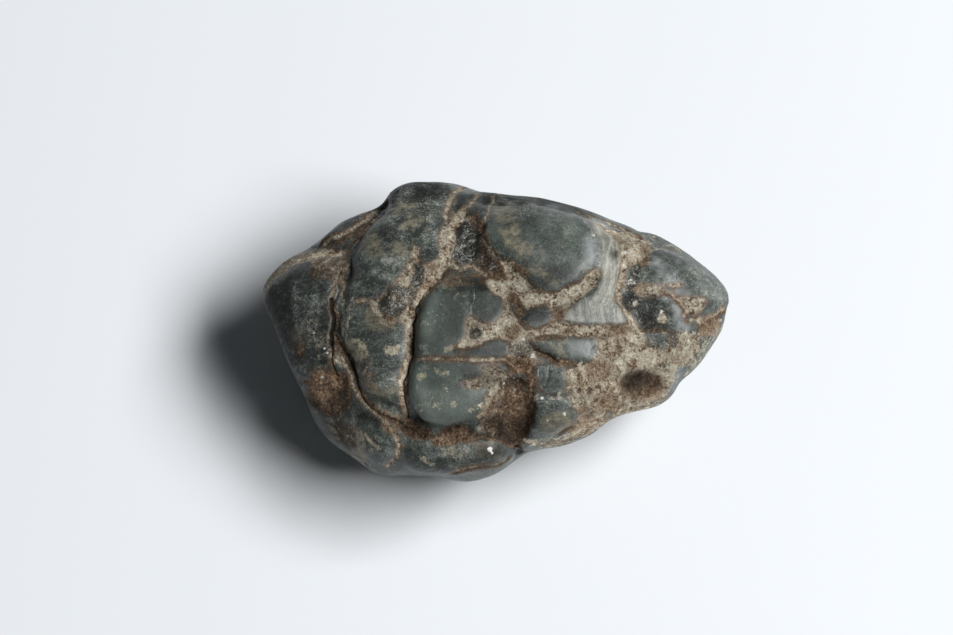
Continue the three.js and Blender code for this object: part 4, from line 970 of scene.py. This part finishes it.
def cloudy(points, size, octaves, shift):
    # fractal noise over the stone, about -1 to 1, for features of this size in mm
    scale = 1000 / size
    away = Vector((shift, 2 * shift, 0))
    return np.array([noise.fractal(Vector(point) * scale + away, 0.9, 2.0, octaves) for point in points])


def refine(piece, wanted):
    # splits the chosen faces, and evens out the new points
    selectOnly(piece)
    flags = np.zeros(len(piece.data.polygons), bool)
    for face in piece.data.polygons:
        flags[face.index] = all(wanted[vertex] for vertex in face.vertices) and len(face.vertices) == 4
    bpy.ops.object.mode_set(mode="EDIT")
    bpy.ops.mesh.select_mode(type="FACE")
    bpy.ops.mesh.select_all(action="DESELECT")
    bpy.ops.object.mode_set(mode="OBJECT")
    piece.data.polygons.foreach_set("select", flags)
    bpy.ops.object.mode_set(mode="EDIT")
    smoothness = meshSettings["refinedSmoothness"]
    bpy.ops.mesh.subdivide(number_cuts=1, smoothness=smoothness, quadcorner="INNERVERT")
    bpy.ops.object.mode_set(mode="OBJECT")


def strongest(marks, measure):
    # how far inside the nearest of these marks each place is
    return np.max([measure(mark) for mark in marks], axis=0)


def allOf(*groups):
    return [mark for group in groups for mark in group.values()]


def towards(mark):
    # 1 where the stone faces the side that the mark lies on, -1 where it faces away
    return facing * (-1 if mark.get("far") else 1)


def offSide(mark):
    # what keeps a mark off the side of the stone that it doesn't lie on
    return reach * smooth(towards(mark), 0.12, -0.05)


def markDepthInside(mark):
    return patchDepthInside(pixels, mark["outline"], reach) - offSide(mark)


def lines(marks, drawn, wider=0):
    return strongest(marks, lambda name: lineDepthInside(places, drawn[name], marks[name]["wide"] + wider))


def patches(marks):
    def measure(mark):
        inside = patchDepthInside(pixels, mark["outline"], reach) * mark.get("soft", 1)
        return np.minimum(inside, mark.get("hold", reach)) - offSide(mark)
    return strongest(marks.values(), measure)


def cloudPatches(outlines):
    return patches({name: {"outline": outline} for name, outline in outlines.items()})


def onNearSide(outline, hold, ragged, low, high):
    # 1 inside an outline on the side that the camera sees, with a ragged edge
    inside = patchDepthInside(pixels, outline, hold) + ragged * wobble
    return smooth(inside, low, high) * smooth(facing, -0.05, 0.15)


drawnVeins = linesOnStone({**fissures, **creamVeins}, layingSettings["veinWander"])
drawnThreads = linesOnStone(threads, layingSettings["threadWander"])
drawnBrown = linesOnStone(brownLines, layingSettings["brownWander"])
print("lines laid on the stone:", len(drawnVeins) + len(drawnBrown))

# the mesh is made finer where the marks are small, and finest in the fissures
busy = lines(fissures, drawnVeins, layingSettings["fineAroundFissures"])
veined = lines(creamVeins, drawnVeins, layingSettings["fineAroundVeins"])
pixels = inView(places)
facing = normals @ np.array(towardCamera)
crumbly = allOf(grainPatches, brownPatches, brownStains, stripePatches)
rough = strongest(crumbly, lambda mark: patchDepthInside(pixels, mark["outline"], 1) - 4 * (towards(mark) < 0.1))
refine(stone, np.maximum(np.maximum(busy, veined), rough) > 0)
places = vertexValues(stone, "co")
refine(stone, lines(fissures, drawnVeins, layingSettings["finestAroundFissures"]) > 0)
print("stone refined:", sum(len(face.vertices) - 2 for face in stone.data.polygons), "triangles")

places = vertexValues(stone, "co")
normals = vertexValues(stone, "normal")
pixels = inView(places)
facing = normals @ np.array(towardCamera)
turnedAway = smooth(facing, 0.3, -0.05)  # 1 on the side that the camera doesn't see
wobble = cloudy(places, 1.4, 3, 5)

hiddenSettings = {  # the far side has a net of the same veins, and clouds of the same stains
    "netSize": 15,  # mm between veins
    "netBend": 0.0045,  # metres
    "netShift": (4.2, 1.7, 8.3),
    "veinHalf": 0.33,  # mm
    "crustShare": 0.18,
    "stainShare": 0.1,
}
bend = np.stack([cloudy(places, 9, 2, shift) for shift in (11, 23, 37)], axis=1) * hiddenSettings["netBend"]
netPoints = (places + bend) * (1000 / hiddenSettings["netSize"])
netDistance = np.zeros(len(places))
for index, point in enumerate(netPoints):
    near = noise.voronoi(Vector(point) + Vector(hiddenSettings["netShift"]))[0]
    netDistance[index] = (near[1] - near[0]) * hiddenSettings["netSize"] / 2
bigCloud = cloudy(places, 17, 2, 3)
midCloud = cloudy(places, 7, 3, 17)
netVein = hiddenSettings["veinHalf"] + 0.45 * bigCloud - netDistance


def hidden(inside, hold):
    # a mark of the far side only
    return np.minimum(hold, inside) - reach * (1 - turnedAway)


crustCloud = (bigCloud - 1 + 2 * hiddenSettings["crustShare"]) * 4
stainCloud = (midCloud - 1 + 2 * hiddenSettings["stainShare"]) * 4
marksOf = {
    "crack": lines({name: mark for name, mark in fissures.items() if "open" in mark}, drawnVeins),
    "cream": np.maximum(lines(creamVeins, drawnVeins), patches(creamPatches)),
    "rust": np.maximum(lines(brownLines, drawnBrown), patches(brownPatches)),
    "thread": lines(threads, drawnThreads),
    "white": np.full(len(places), -kept),
    "stain": patches(brownStains),
    "chip": patches(chips),
    "paintedReflection": cloudPatches(paintedReflections),
    "black": patches(blackPatches),
    "tan": np.maximum(cloudPatches(tanClouds), hidden(midCloud * 1.5 - 0.7, 0.6)),
    "light": np.maximum(cloudPatches(lightClouds), hidden(-midCloud * 1.5 - 0.6, 0.6)),
    "pale": patches(palePatches),
    "grain": np.maximum(patches(grainPatches), hidden(crustCloud, 0.4)),
    "stripe": patches(stripePatches),
    "toneAndPaintedLight": 0.5 * bigCloud * turnedAway,
    "polish": np.zeros(len(places)),
    "run": np.full(len(places), -kept),
}
marksOf["cream"] = np.maximum(marksOf["cream"], hidden(netVein, reach))
marksOf["rust"] = np.maximum(marksOf["rust"], hidden(stainCloud, 0.25))
marksOf["rust"] = np.maximum(marksOf["rust"], hidden(0.25 + 0.5 * bigCloud + netVein, 0.12))
for x, y, radius in glintsAndWhiteChips.values():
    inside = (radius - np.linalg.norm(pixels - np.array((x, y)), axis=1)) * pixelSize
    marksOf["white"] = np.maximum(marksOf["white"], np.where(facing > 0, inside, -kept))
for amount, outline in toneAndPaintedLightPatches.values():
    marksOf["toneAndPaintedLight"] += amount * onNearSide(outline, 2, 0.35, -0.5, 0.9)
panelInside = np.full(len(places), -reach)
for mark in panels.values():
    inside = markDepthInside(mark)
    if "crusted" not in mark:
        panelInside = np.maximum(panelInside, inside)
    marksOf["polish"] += np.clip(inside * 2, 0, 1) * mark.get("polish", 0)
for amount, outline in roughPlaces.values():
    marksOf["polish"] -= amount * onNearSide(outline, 1, 0.3, -0.5, 0.7)
for name, edge in {"cream": -0.05, "grain": 0.0, "black": 0.0, "rust": 0.22}.items():
    marksOf[name] = np.minimum(marksOf[name], edge - panelInside)  # the panels stay clear of the crusts
for mark in stripePatches.values():
    if "round" in mark:
        across = np.linalg.norm(pixels - np.array(mark["round"]), axis=1)
    else:
        across = pixels[:, 0] + pixels[:, 1] * mark["slant"]
    inside = patchDepthInside(pixels, mark["outline"], 1)
    marksOf["run"] = np.where(inside > -0.5, across * pixelSize, marksOf["run"])
print("marks laid:", len(marksOf))

reliefSettings = {  # mm
    "veinSink": 0.16,
    "grainSink": 0.12,
    "rustSink": 0.06,
    "blackSink": 0.14,
    "veinCrumb": 0.15,
    "grainCrumb": 0.26,
    "skinWaviness": 0.10,
    "skinPits": 0.03,
    "fissureLip": 0.02,
}

swellings = {  # x and y in pixels, radius and rise in mm
    "heel swelling": (331, 238, 4.0, 0.45),
    "crease filling": (352, 262, 3.2, 0.6),
    "crease filling foot": (355, 268, 2.4, 0.5),
    "face edge top": (426, 304, 2.2, 0.3),
    "face edge": (421, 322, 2.2, 0.3),
    "face edge middle": (420, 342, 2.2, 0.3),
    "lower face edge": (416, 372, 2.4, 0.42),
    "lower face corner": (416, 394, 2.6, 0.5),
    "lower face foot": (424, 416, 2.4, 0.4),
    "right end dip": (666, 243, 4.5, -0.55),
    "branch filling": (358, 370, 2.2, 0.3),
    "branch filling low": (364, 388, 2.2, 0.3),
    "crest edge dip": (650, 237, 2.6, -0.25),
    "band swelling": (349, 332, 4.5, 0.7),
}

broadLift = np.zeros(len(places))
lift = np.zeros(len(places))
for name, mark in fissures.items():
    inside = lineDepthInside(places, drawnVeins[name], mark["wide"])
    half = mark["wide"] * pixelSize / 2
    lift -= mark["depth"] * np.clip(inside / half, 0, 1) ** 0.8 * (0.8 + 0.35 * wobble)
    lift += reliefSettings["fissureLip"] * smooth(inside, -0.5, -0.2) * smooth(inside, 0.05, -0.1)
for mark in allOf(brownPatches, brownStains, panels):
    inside = markDepthInside(mark)
    if "lift" in mark:
        broadLift += mark["lift"] * smooth(inside + 0.08 * wobble, -0.15, 0.4)
    else:
        broadLift -= mark.get("depth", 0) * smooth(inside + 0.35 * wobble, -0.5, 1.3)
creamAmount = smooth(marksOf["cream"] + 0.15 * wobble, -0.15, 0.3)
grainAmount = smooth(marksOf["grain"] + 0.2 * wobble, -0.1, 0.5)
rustAmount = smooth(marksOf["rust"] + 0.2 * wobble, -0.1, 0.5)
blackAmount = smooth(marksOf["black"] + 0.1 * wobble, -0.05, 0.25)
for x, y, radius, rise in swellings.values():
    middle = np.array(ontoStone(x, y, False))
    broadLift += rise * smooth(np.linalg.norm(places - middle, axis=1) * 1000, radius, 0)
crumbs = cloudy(places, 1.1, 4, 29)
lumps = cloudy(places, 2.6, 3, 41)
broadLift -= reliefSettings["veinSink"] * creamAmount + reliefSettings["grainSink"] * grainAmount
broadLift -= reliefSettings["rustSink"] * rustAmount + reliefSettings["blackSink"] * blackAmount
lift += reliefSettings["veinCrumb"] * crumbs * np.maximum(creamAmount, rustAmount)
lift += reliefSettings["grainCrumb"] * (crumbs * 0.6 + lumps * 0.6) * np.maximum(grainAmount, 0.8 * blackAmount)
broadLift += reliefSettings["skinWaviness"] * cloudy(places, 5, 2, 53) * (1 - grainAmount)
lift -= reliefSettings["skinPits"] * smooth(cloudy(places, 1.6, 2, 67), 0.35, 0.8)
atTable = smooth(places[:, 2] * 1000, 0.05, 0.8)  # the resting flat stays as it is
places += normals * ((lift + broadLift) * atTable / 1000)[:, None]
places[:, 2] = np.maximum(places[:, 2], 0)
stone.data.vertices.foreach_set("co", places.ravel())
stone.data.update()
marksOf["hollow"] = -lift
for name, inside in marksOf.items():
    attribute = stone.data.attributes.new(name, "FLOAT", "POINT")
    inside = inside if name == "run" else np.clip(inside, -kept, kept)
    attribute.data.foreach_set("value", inside.astype(np.float32))
selectOnly(stone)
bpy.ops.object.shade_smooth()
print("relief cut")


class Wire:
    # a socket that sums can be written with
    def __init__(self, maker, socket):
        self.maker, self.socket = maker, socket

    def sum(self, operation, first, second):
        return self.maker.node("ShaderNodeMath", {"operation": operation}, {0: first, 1: second})

    def __add__(self, other): return self.sum("ADD", self, other)
    def __radd__(self, other): return self.sum("ADD", other, self)
    def __sub__(self, other): return self.sum("SUBTRACT", self, other)
    def __rsub__(self, other): return self.sum("SUBTRACT", other, self)
    def __mul__(self, other): return self.sum("MULTIPLY", self, other)
    def __rmul__(self, other): return self.sum("MULTIPLY", other, self)
    def most(self, other): return self.sum("MAXIMUM", self, other)


class Finish:
    # a material, its look and its nodes
    def __init__(self, name, look):
        self.material = bpy.data.materials.new(name)
        self.material.use_nodes = True
        self.tree = self.material.node_tree
        self.shader = self.tree.nodes["Principled BSDF"]
        self.look = look

    def plug(self, socket, value):
        # a link, one of the look's colours, or a number
        if isinstance(value, Wire):
            self.tree.links.new(value.socket, socket)
        elif socket.type == "RGBA":
            socket.default_value = (*self.look[value], 1)
        else:
            socket.default_value = value

    def node(self, kind, settings, inputs, output=0):
        made = self.tree.nodes.new(kind)
        for name, value in settings.items():
            setattr(made, name, value)
        for key, value in inputs.items():
            self.plug(made.inputs[key], value)
        return Wire(self, made.outputs[output])

    def surface(self, inputs):
        for name, value in inputs.items():
            self.plug(self.shader.inputs[name], value)

    def attribute(self, name):
        return self.node("ShaderNodeAttribute", {"attribute_name": name}, {}, "Fac")

    def spread(self, value):
        # a noise, brought to mostly between -1 and 1
        return (value - 0.5) * 4.5

    def clouds(self, where, size, detail, roughness, distortion=0, shift=0):
        spot = self.node("ShaderNodeMapping", {}, {"Vector": where, "Location": (shift, shift * 0.7, -shift)})
        return self.spread(self.node("ShaderNodeTexNoise", {}, {
            "Vector": spot, "Scale": 1 / size, "Detail": detail, "Roughness": roughness, "Distortion": distortion,
        }, "Fac"))

    def cells(self, where, number):
        # the distance to the middle of the nearest of this many cells to a mm
        return self.node("ShaderNodeTexVoronoi", {"feature": "F1"}, {"Vector": where, "Scale": number}, "Distance")

    def ramp(self, value, low, high, first=0, last=1):
        return self.node("ShaderNodeMapRange", {"interpolation_type": "SMOOTHSTEP"}, {
            "Value": value, "From Min": low, "From Max": high, "To Min": first, "To Max": last,
        })

    def shades(self, value, steps):
        # one colour after another as the value grows
        (low, colour), *others = steps.items()
        for high, following in others:
            colour = self.mix(self.ramp(value, low, high), colour, following)
            low = high
        return colour

    def scaled(self, colour, amount):
        return self.node("ShaderNodeVectorMath", {"operation": "SCALE"}, {0: colour, "Scale": amount})

    def mix(self, amount, first, second):
        return self.node("ShaderNodeMix", {"data_type": "RGBA"}, {"Factor": amount, 6: first, 7: second}, 2)


jadeiteLook = {
    "jadeDark": (0.026, 0.032, 0.028),
    "jade": (0.070, 0.083, 0.073),
    "jadeLight": (0.150, 0.166, 0.145),
    "flecks": (0.36, 0.38, 0.34),
    "haze": (0.155, 0.145, 0.105),
    "tanCloud": (0.30, 0.26, 0.175),
    # colour of the painted reflection on the polish
    "paintedReflectionColour": (0.30, 0.315, 0.32),
    "pale": (0.37, 0.37, 0.30),
    "stripeLight": (0.35, 0.345, 0.295),
    "stripeDark": (0.125, 0.135, 0.125),
    "rustDeep": (0.042, 0.026, 0.016),
    "rust": (0.135, 0.080, 0.045),
    "rustLight": (0.32, 0.23, 0.15),
    "tan": (0.31, 0.255, 0.185),
    "crust": (0.47, 0.42, 0.325),
    "creamLight": (0.70, 0.665, 0.54),
    "black": (0.016, 0.017, 0.016),
    "blackGrey": (0.080, 0.076, 0.064),
    "glints": (0.42, 0.43, 0.40),
    "white": (0.72, 0.72, 0.70),
    "thread": (0.40, 0.40, 0.34),
    "crack": (0.024, 0.016, 0.010),
    "waxRoughness": 0.42,
    "crustRoughness": 0.88,
    "coatWeight": 0.25,
    "coatRoughness": 0.36,
    "coatIor": 1.6,
    "specular": 0.28,
}

finish = Finish("weathered jadeite", jadeiteLook)
where = finish.node("ShaderNodeMapping", {}, {
    "Vector": finish.node("ShaderNodeTexCoord", {}, {}, "Object"), "Scale": (1000, 1000, 1000),
})  # millimetres on the stone

# noises of several sizes, each mostly between -1 and 1
tiny = finish.clouds(where, 0.20, detail=3, roughness=0.75, shift=31)
small = finish.clouds(where, 0.30, detail=5, roughness=0.65, shift=7)
middling = finish.clouds(where, 0.8, detail=6, roughness=0.62, distortion=0.3)
large = finish.clouds(where, 2.2, detail=6, roughness=0.6, distortion=0.5, shift=43)
broad = finish.clouds(where, 5.5, detail=4, roughness=0.55, distortion=0.6, shift=3)
mottle = finish.clouds(where, 1.4, detail=6, roughness=0.62, distortion=0.5, shift=13)
along = finish.node("ShaderNodeMapping", {}, {"Vector": where, "Scale": (0.38, 1.5, 1.1), "Rotation": (0, 0, 0.12)})
streaks = finish.clouds(along, 1.3, detail=6, roughness=0.65, distortion=0.6, shift=71)
grains = 0.5 - finish.cells(where, 2.3)
seams = finish.clouds(where, 1.5, detail=3, roughness=0.5, distortion=1.1, shift=57)
seam = finish.ramp(seams.most(seams * -1), 0.30, 0.02)  # crooked lines where that noise changes sign
polish = finish.attribute("polish")
hollow = finish.attribute("hollow")

# the jade itself: clouds of darker and lighter green grey, finely speckled where it isn't polished
lightCloud = finish.ramp(finish.attribute("light") + large * 0.22 + middling * 0.22 + small * 0.06, -0.75, 0.60)
jadeLevel = mottle * (0.82 - polish * 0.72) + broad * (0.45 - polish * 0.35) + middling * (0.50 - polish * 0.42)
jadeLevel = jadeLevel + small * (0.50 - polish * 0.38) + tiny * (1.2 - polish * 0.85)
jadeLevel = jadeLevel + streaks * (0.62 - polish * 0.56) + lightCloud * (0.85 - polish * 0.50) - 0.16
colour = finish.shades(jadeLevel, {-0.90: "jadeDark", 0.05: "jade", 0.90: "jadeLight", 1.90: "flecks"})
flecks = finish.ramp(mottle * 0.5 + small * 0.4 + broad * 0.4, 0.45, 0.80)
colour = finish.mix(flecks * 0.35, colour, "flecks")
stained = finish.ramp(large + middling * 0.4 - broad * 0.3, 0.35, 1.0) * 0.45
colour = finish.mix(stained, colour, "haze")
speck = finish.cells(where, 1.1)
colour = finish.mix(finish.ramp(speck + small * 0.08, 0.13, 0.05) * 0.5, colour, "flecks")
# painted reflection: a cold bluish shine mixed into the colour on the polished places
paintedReflectionAmount = finish.ramp(finish.attribute("paintedReflection") + large * 0.12 + middling * 0.12, -0.9, 0.9)
colour = finish.mix(paintedReflectionAmount * finish.ramp(middling + small * 0.5, -1.2, 0.8, 0.30, 0.62), colour, "paintedReflectionColour")

# pale spots and the striped parts
pale = finish.ramp(finish.attribute("pale") + middling * 0.24 + small * 0.16 + tiny * 0.06, -0.10, 0.16)
pale = pale * finish.ramp(small + mottle * 0.5, -0.9, 0.3, 0.55, 0.95) * (1 - polish * 0.45)
paleLevel = middling * 0.5 + small * 0.5 + tiny * 0.2 + grains * 0.5
paleColour = finish.shades(paleLevel, {-0.8: "haze", -0.1: "tanCloud", 0.6: "pale"})
colour = finish.mix(pale, colour, finish.scaled(paleColour, 1.1))
across = finish.attribute("run") + large * 0.22 + middling * 0.06
stripes = finish.spread(finish.node("ShaderNodeTexNoise", {"noise_dimensions": "1D"}, {
    "W": across, "Scale": 1.7, "Detail": 4, "Roughness": 0.75,
}, "Fac"))
stripe = finish.ramp(finish.attribute("stripe") + middling * 0.22 + small * 0.10, -0.15, 0.22)
stripeLevel = stripes * 0.62 + mottle * 0.35 + small * 0.25 + tiny * 0.30 + large * 0.35
stripeColour = finish.shades(stripeLevel, {-0.7: "stripeDark", 0.8: "stripeLight"})
colour = finish.mix(stripe * 0.9, colour, stripeColour)
tanCloud = finish.ramp(finish.attribute("tan") + large * 0.22 + middling * 0.22, -0.60, 0.50)
tanColour = finish.shades(middling * 0.5 + small * 0.4 + mottle * 0.4, {-0.7: "haze", 0.7: "tanCloud"})
tanCloud = tanCloud * finish.ramp(streaks * 0.7 + middling * 0.5 + small * 0.2, -0.8, 0.5, 0.2, 0.85)
colour = finish.mix(tanCloud * (1 - stripe * 0.6), colour, tanColour)
dots = finish.cells(where, 3.0)
specks = finish.ramp(tiny * 0.6 + small * 0.5, 0.35, 0.70).most(finish.ramp(dots + small * 0.05, 0.12, 0.05))
specks = specks * (1 - polish * 0.9) * finish.ramp(large + mottle * 0.4, -0.4, 0.6, 0.1, 0.9)
colour = finish.mix(specks * 0.75, colour, "flecks")

# brown iron stain
rustLevel = middling * 0.50 + small * 0.45 + large * 0.40 + tiny * 0.35 + grains * 0.9
rustColour = finish.shades(rustLevel, {-0.60: "rustDeep", 0.05: "rust", 0.70: "rustLight"})
rust = finish.ramp(finish.attribute("rust") + middling * 0.34 + small * 0.20 + large * 0.12, -0.30, 0.30)
colour = finish.mix(rust * 0.88, colour, rustColour)

# granular crusts
crust = finish.ramp(finish.attribute("grain") + large * 0.55 + middling * 0.38 + small * 0.20, -0.25, 0.25)
crustLevel = large * 0.62 + middling * 0.55 + small * 0.34 + tiny * 0.26 + grains * 0.45 - seam * 0.30 + 0.22
crustColour = finish.shades(crustLevel, {
    -0.85: "rustDeep", -0.45: "rust", -0.05: "tan", 0.35: "crust", 0.95: "creamLight",
})
colour = finish.mix(crust, colour, crustColour)

# cream veins: brown where they begin, light at their hearts
creamField = finish.attribute("cream") + middling * 0.15 + small * 0.08 + large * 0.10
rim = finish.ramp(creamField, -0.55, -0.08) * finish.ramp(large + middling * 0.5, -0.8, 0.40, 0.2, 1)
colour = finish.mix(rim * 0.80, colour, "rust")
creamLevel = creamField * 0.45 + middling * 0.52 + small * 0.40 + tiny * 0.28 + large * 0.28
creamLevel = creamLevel + grains * 0.5 - seam * 0.25 + 0.14
creamColour = finish.shades(creamLevel, {
    -0.60: "rustDeep", -0.30: "rust", 0.05: "tan", 0.40: "crust", 1.00: "creamLight",
})
cream = finish.ramp(creamField, -0.20, 0.12)
colour = finish.mix(cream, colour, creamColour)

# brown stains over the crusts
stain = finish.ramp(finish.attribute("stain") + middling * 0.26 + small * 0.16 + large * 0.10, -0.30, 0.32)
colour = finish.mix(stain * 0.85, colour, finish.scaled(rustColour, 1.25))

# black sparkling patches, dirt in the hollows, and the open cracks
black = finish.ramp(finish.attribute("black") + middling * 0.30 + small * 0.26, -0.12, 0.14)
blackLevel = small * 0.50 + tiny * 0.75 + middling * 0.75 + large * 0.45 + grains * 0.3
blackColour = finish.shades(blackLevel, {-0.20: "black", 0.25: "blackGrey", 0.95: "glints"})
colour = finish.mix(black * 0.92, colour, blackColour)
# the tone scales the colour: the jade's own lighter and darker parts, plus painted light where the relief shades,
# painted shade over the sheen and a painted highlight on the dome
toneAndPaintedLight = finish.attribute("toneAndPaintedLight")
colour = finish.scaled(colour, 1 + toneAndPaintedLight)
colour = finish.mix(finish.ramp(hollow + small * 0.06, 0.15, 0.60) * 0.55, colour, "rustDeep")
crack = finish.ramp(finish.attribute("crack") + small * 0.05, 0.00, 0.16)
colour = finish.mix(crack, colour, "crack")

# chips, threads, glints and white spots lie over all the rest
chip = finish.ramp(finish.attribute("chip") + middling * 0.10 + small * 0.10, -0.10, 0.12)
colour = finish.mix(chip * 0.9, colour, finish.scaled(crustColour, 0.9))
thread = finish.ramp(finish.attribute("thread") + small * 0.06, -0.06, 0.06)
colour = finish.mix(thread * finish.ramp(middling + small * 0.5, -0.9, 0.6, 0.25, 0.60), colour, "thread")
sparkles = finish.cells(where, 2.2)
glint = finish.ramp(sparkles + small * 0.03, 0.10, 0.05) * finish.ramp(mottle + black * 0.6, 0.40, 0.65)
colour = finish.mix(glint * 0.7, colour, "white")
# white spots: painted glints with some white chips
white = finish.ramp(finish.attribute("white") + small * 0.05, -0.05, 0.07)
colour = finish.mix(white * 0.9, colour, "white")

weathered = rust.most(crust).most(cream).most(crack).most(black * 0.7)
wax = jadeiteLook["waxRoughness"]
roughness = finish.ramp(small * 0.6 + mottle * 0.4, -0.9, 0.9, wax - 0.06, wax + 0.10)
roughness = roughness + weathered * (jadeiteLook["crustRoughness"] - wax)
roughness = roughness + (1 - weathered) * finish.ramp(polish, -0.9, 0.0, 0.25, 0.0)
crumble = small * 0.075 + tiny * 0.06 + grains * 0.10
height = small * (0.035 - polish * 0.025) + mottle * 0.02 + weathered * crumble - cream * 0.04 - rust * 0.02  # mm
shine = finish.ramp(toneAndPaintedLight, -0.75, 0.0, 0.2, 1.0) * finish.ramp(polish, -0.9, 0.0, 0.1, 1.0)
finish.surface({
    "Base Color": colour,
    "Roughness": roughness,
    "Normal": finish.node("ShaderNodeBump", {}, {"Strength": 1.0, "Distance": 0.001, "Height": height}, "Normal"),
    "Coat Weight": (1 - weathered) * shine * jadeiteLook["coatWeight"],
    "Coat Roughness": jadeiteLook["coatRoughness"],
    "Coat IOR": jadeiteLook["coatIor"],
    "Specular IOR Level": jadeiteLook["specular"],
})
stone.data.materials.append(finish.material)
print("material made:", len(finish.tree.nodes), "nodes")

tableSettings = {"size": 3.0, "colour": (0.80, 0.83, 0.86), "roughness": 0.9, "specular": 0.1}
windowSettings = {
    "turn": -7,  # degrees from the right of the camera
    "elevation": 52,  # degrees above the table
    "distance": 1.25,  # metres
    "wide": 1.0,
    "high": 0.47,
    "power": 23.0,  # watts
}
skySettings = {"colour": (0.85, 0.93, 1.0), "strength": 0.045}

bpy.ops.object.select_all(action="DESELECT")
bpy.ops.mesh.primitive_plane_add(size=tableSettings["size"], location=(0, 0, 0))
table = bpy.context.object
table.name = "table"
tableFinish = Finish("pale table", tableSettings)
tableFinish.surface({
    "Base Color": "colour",
    "Roughness": tableSettings["roughness"],
    "Specular IOR Level": tableSettings["specular"],
})
table.data.materials.append(tableFinish.material)

turn, rise = radians(windowSettings["turn"]), radians(windowSettings["elevation"])
toWindow = Vector((cos(rise) * cos(turn), cos(rise) * sin(turn), sin(rise)))
bpy.ops.object.light_add(type="AREA", location=toWindow * windowSettings["distance"])
window = bpy.context.object
window.rotation_euler = toWindow.to_track_quat("Z", "Y").to_euler()
window.data.shape = "RECTANGLE"
window.data.size = windowSettings["wide"]
window.data.size_y = windowSettings["high"]
window.data.energy = windowSettings["power"]

world = bpy.data.worlds.new("soft room")
bpy.context.scene.world = world
world.use_nodes = True
sky = world.node_tree.nodes["Background"]
sky.inputs["Color"].default_value = (*skySettings["colour"], 1)
sky.inputs["Strength"].default_value = skySettings["strength"]
bpy.context.scene.view_settings.view_transform = "Standard"
print("table and light set")

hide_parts("jadeite_stone")
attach(stone, "root")
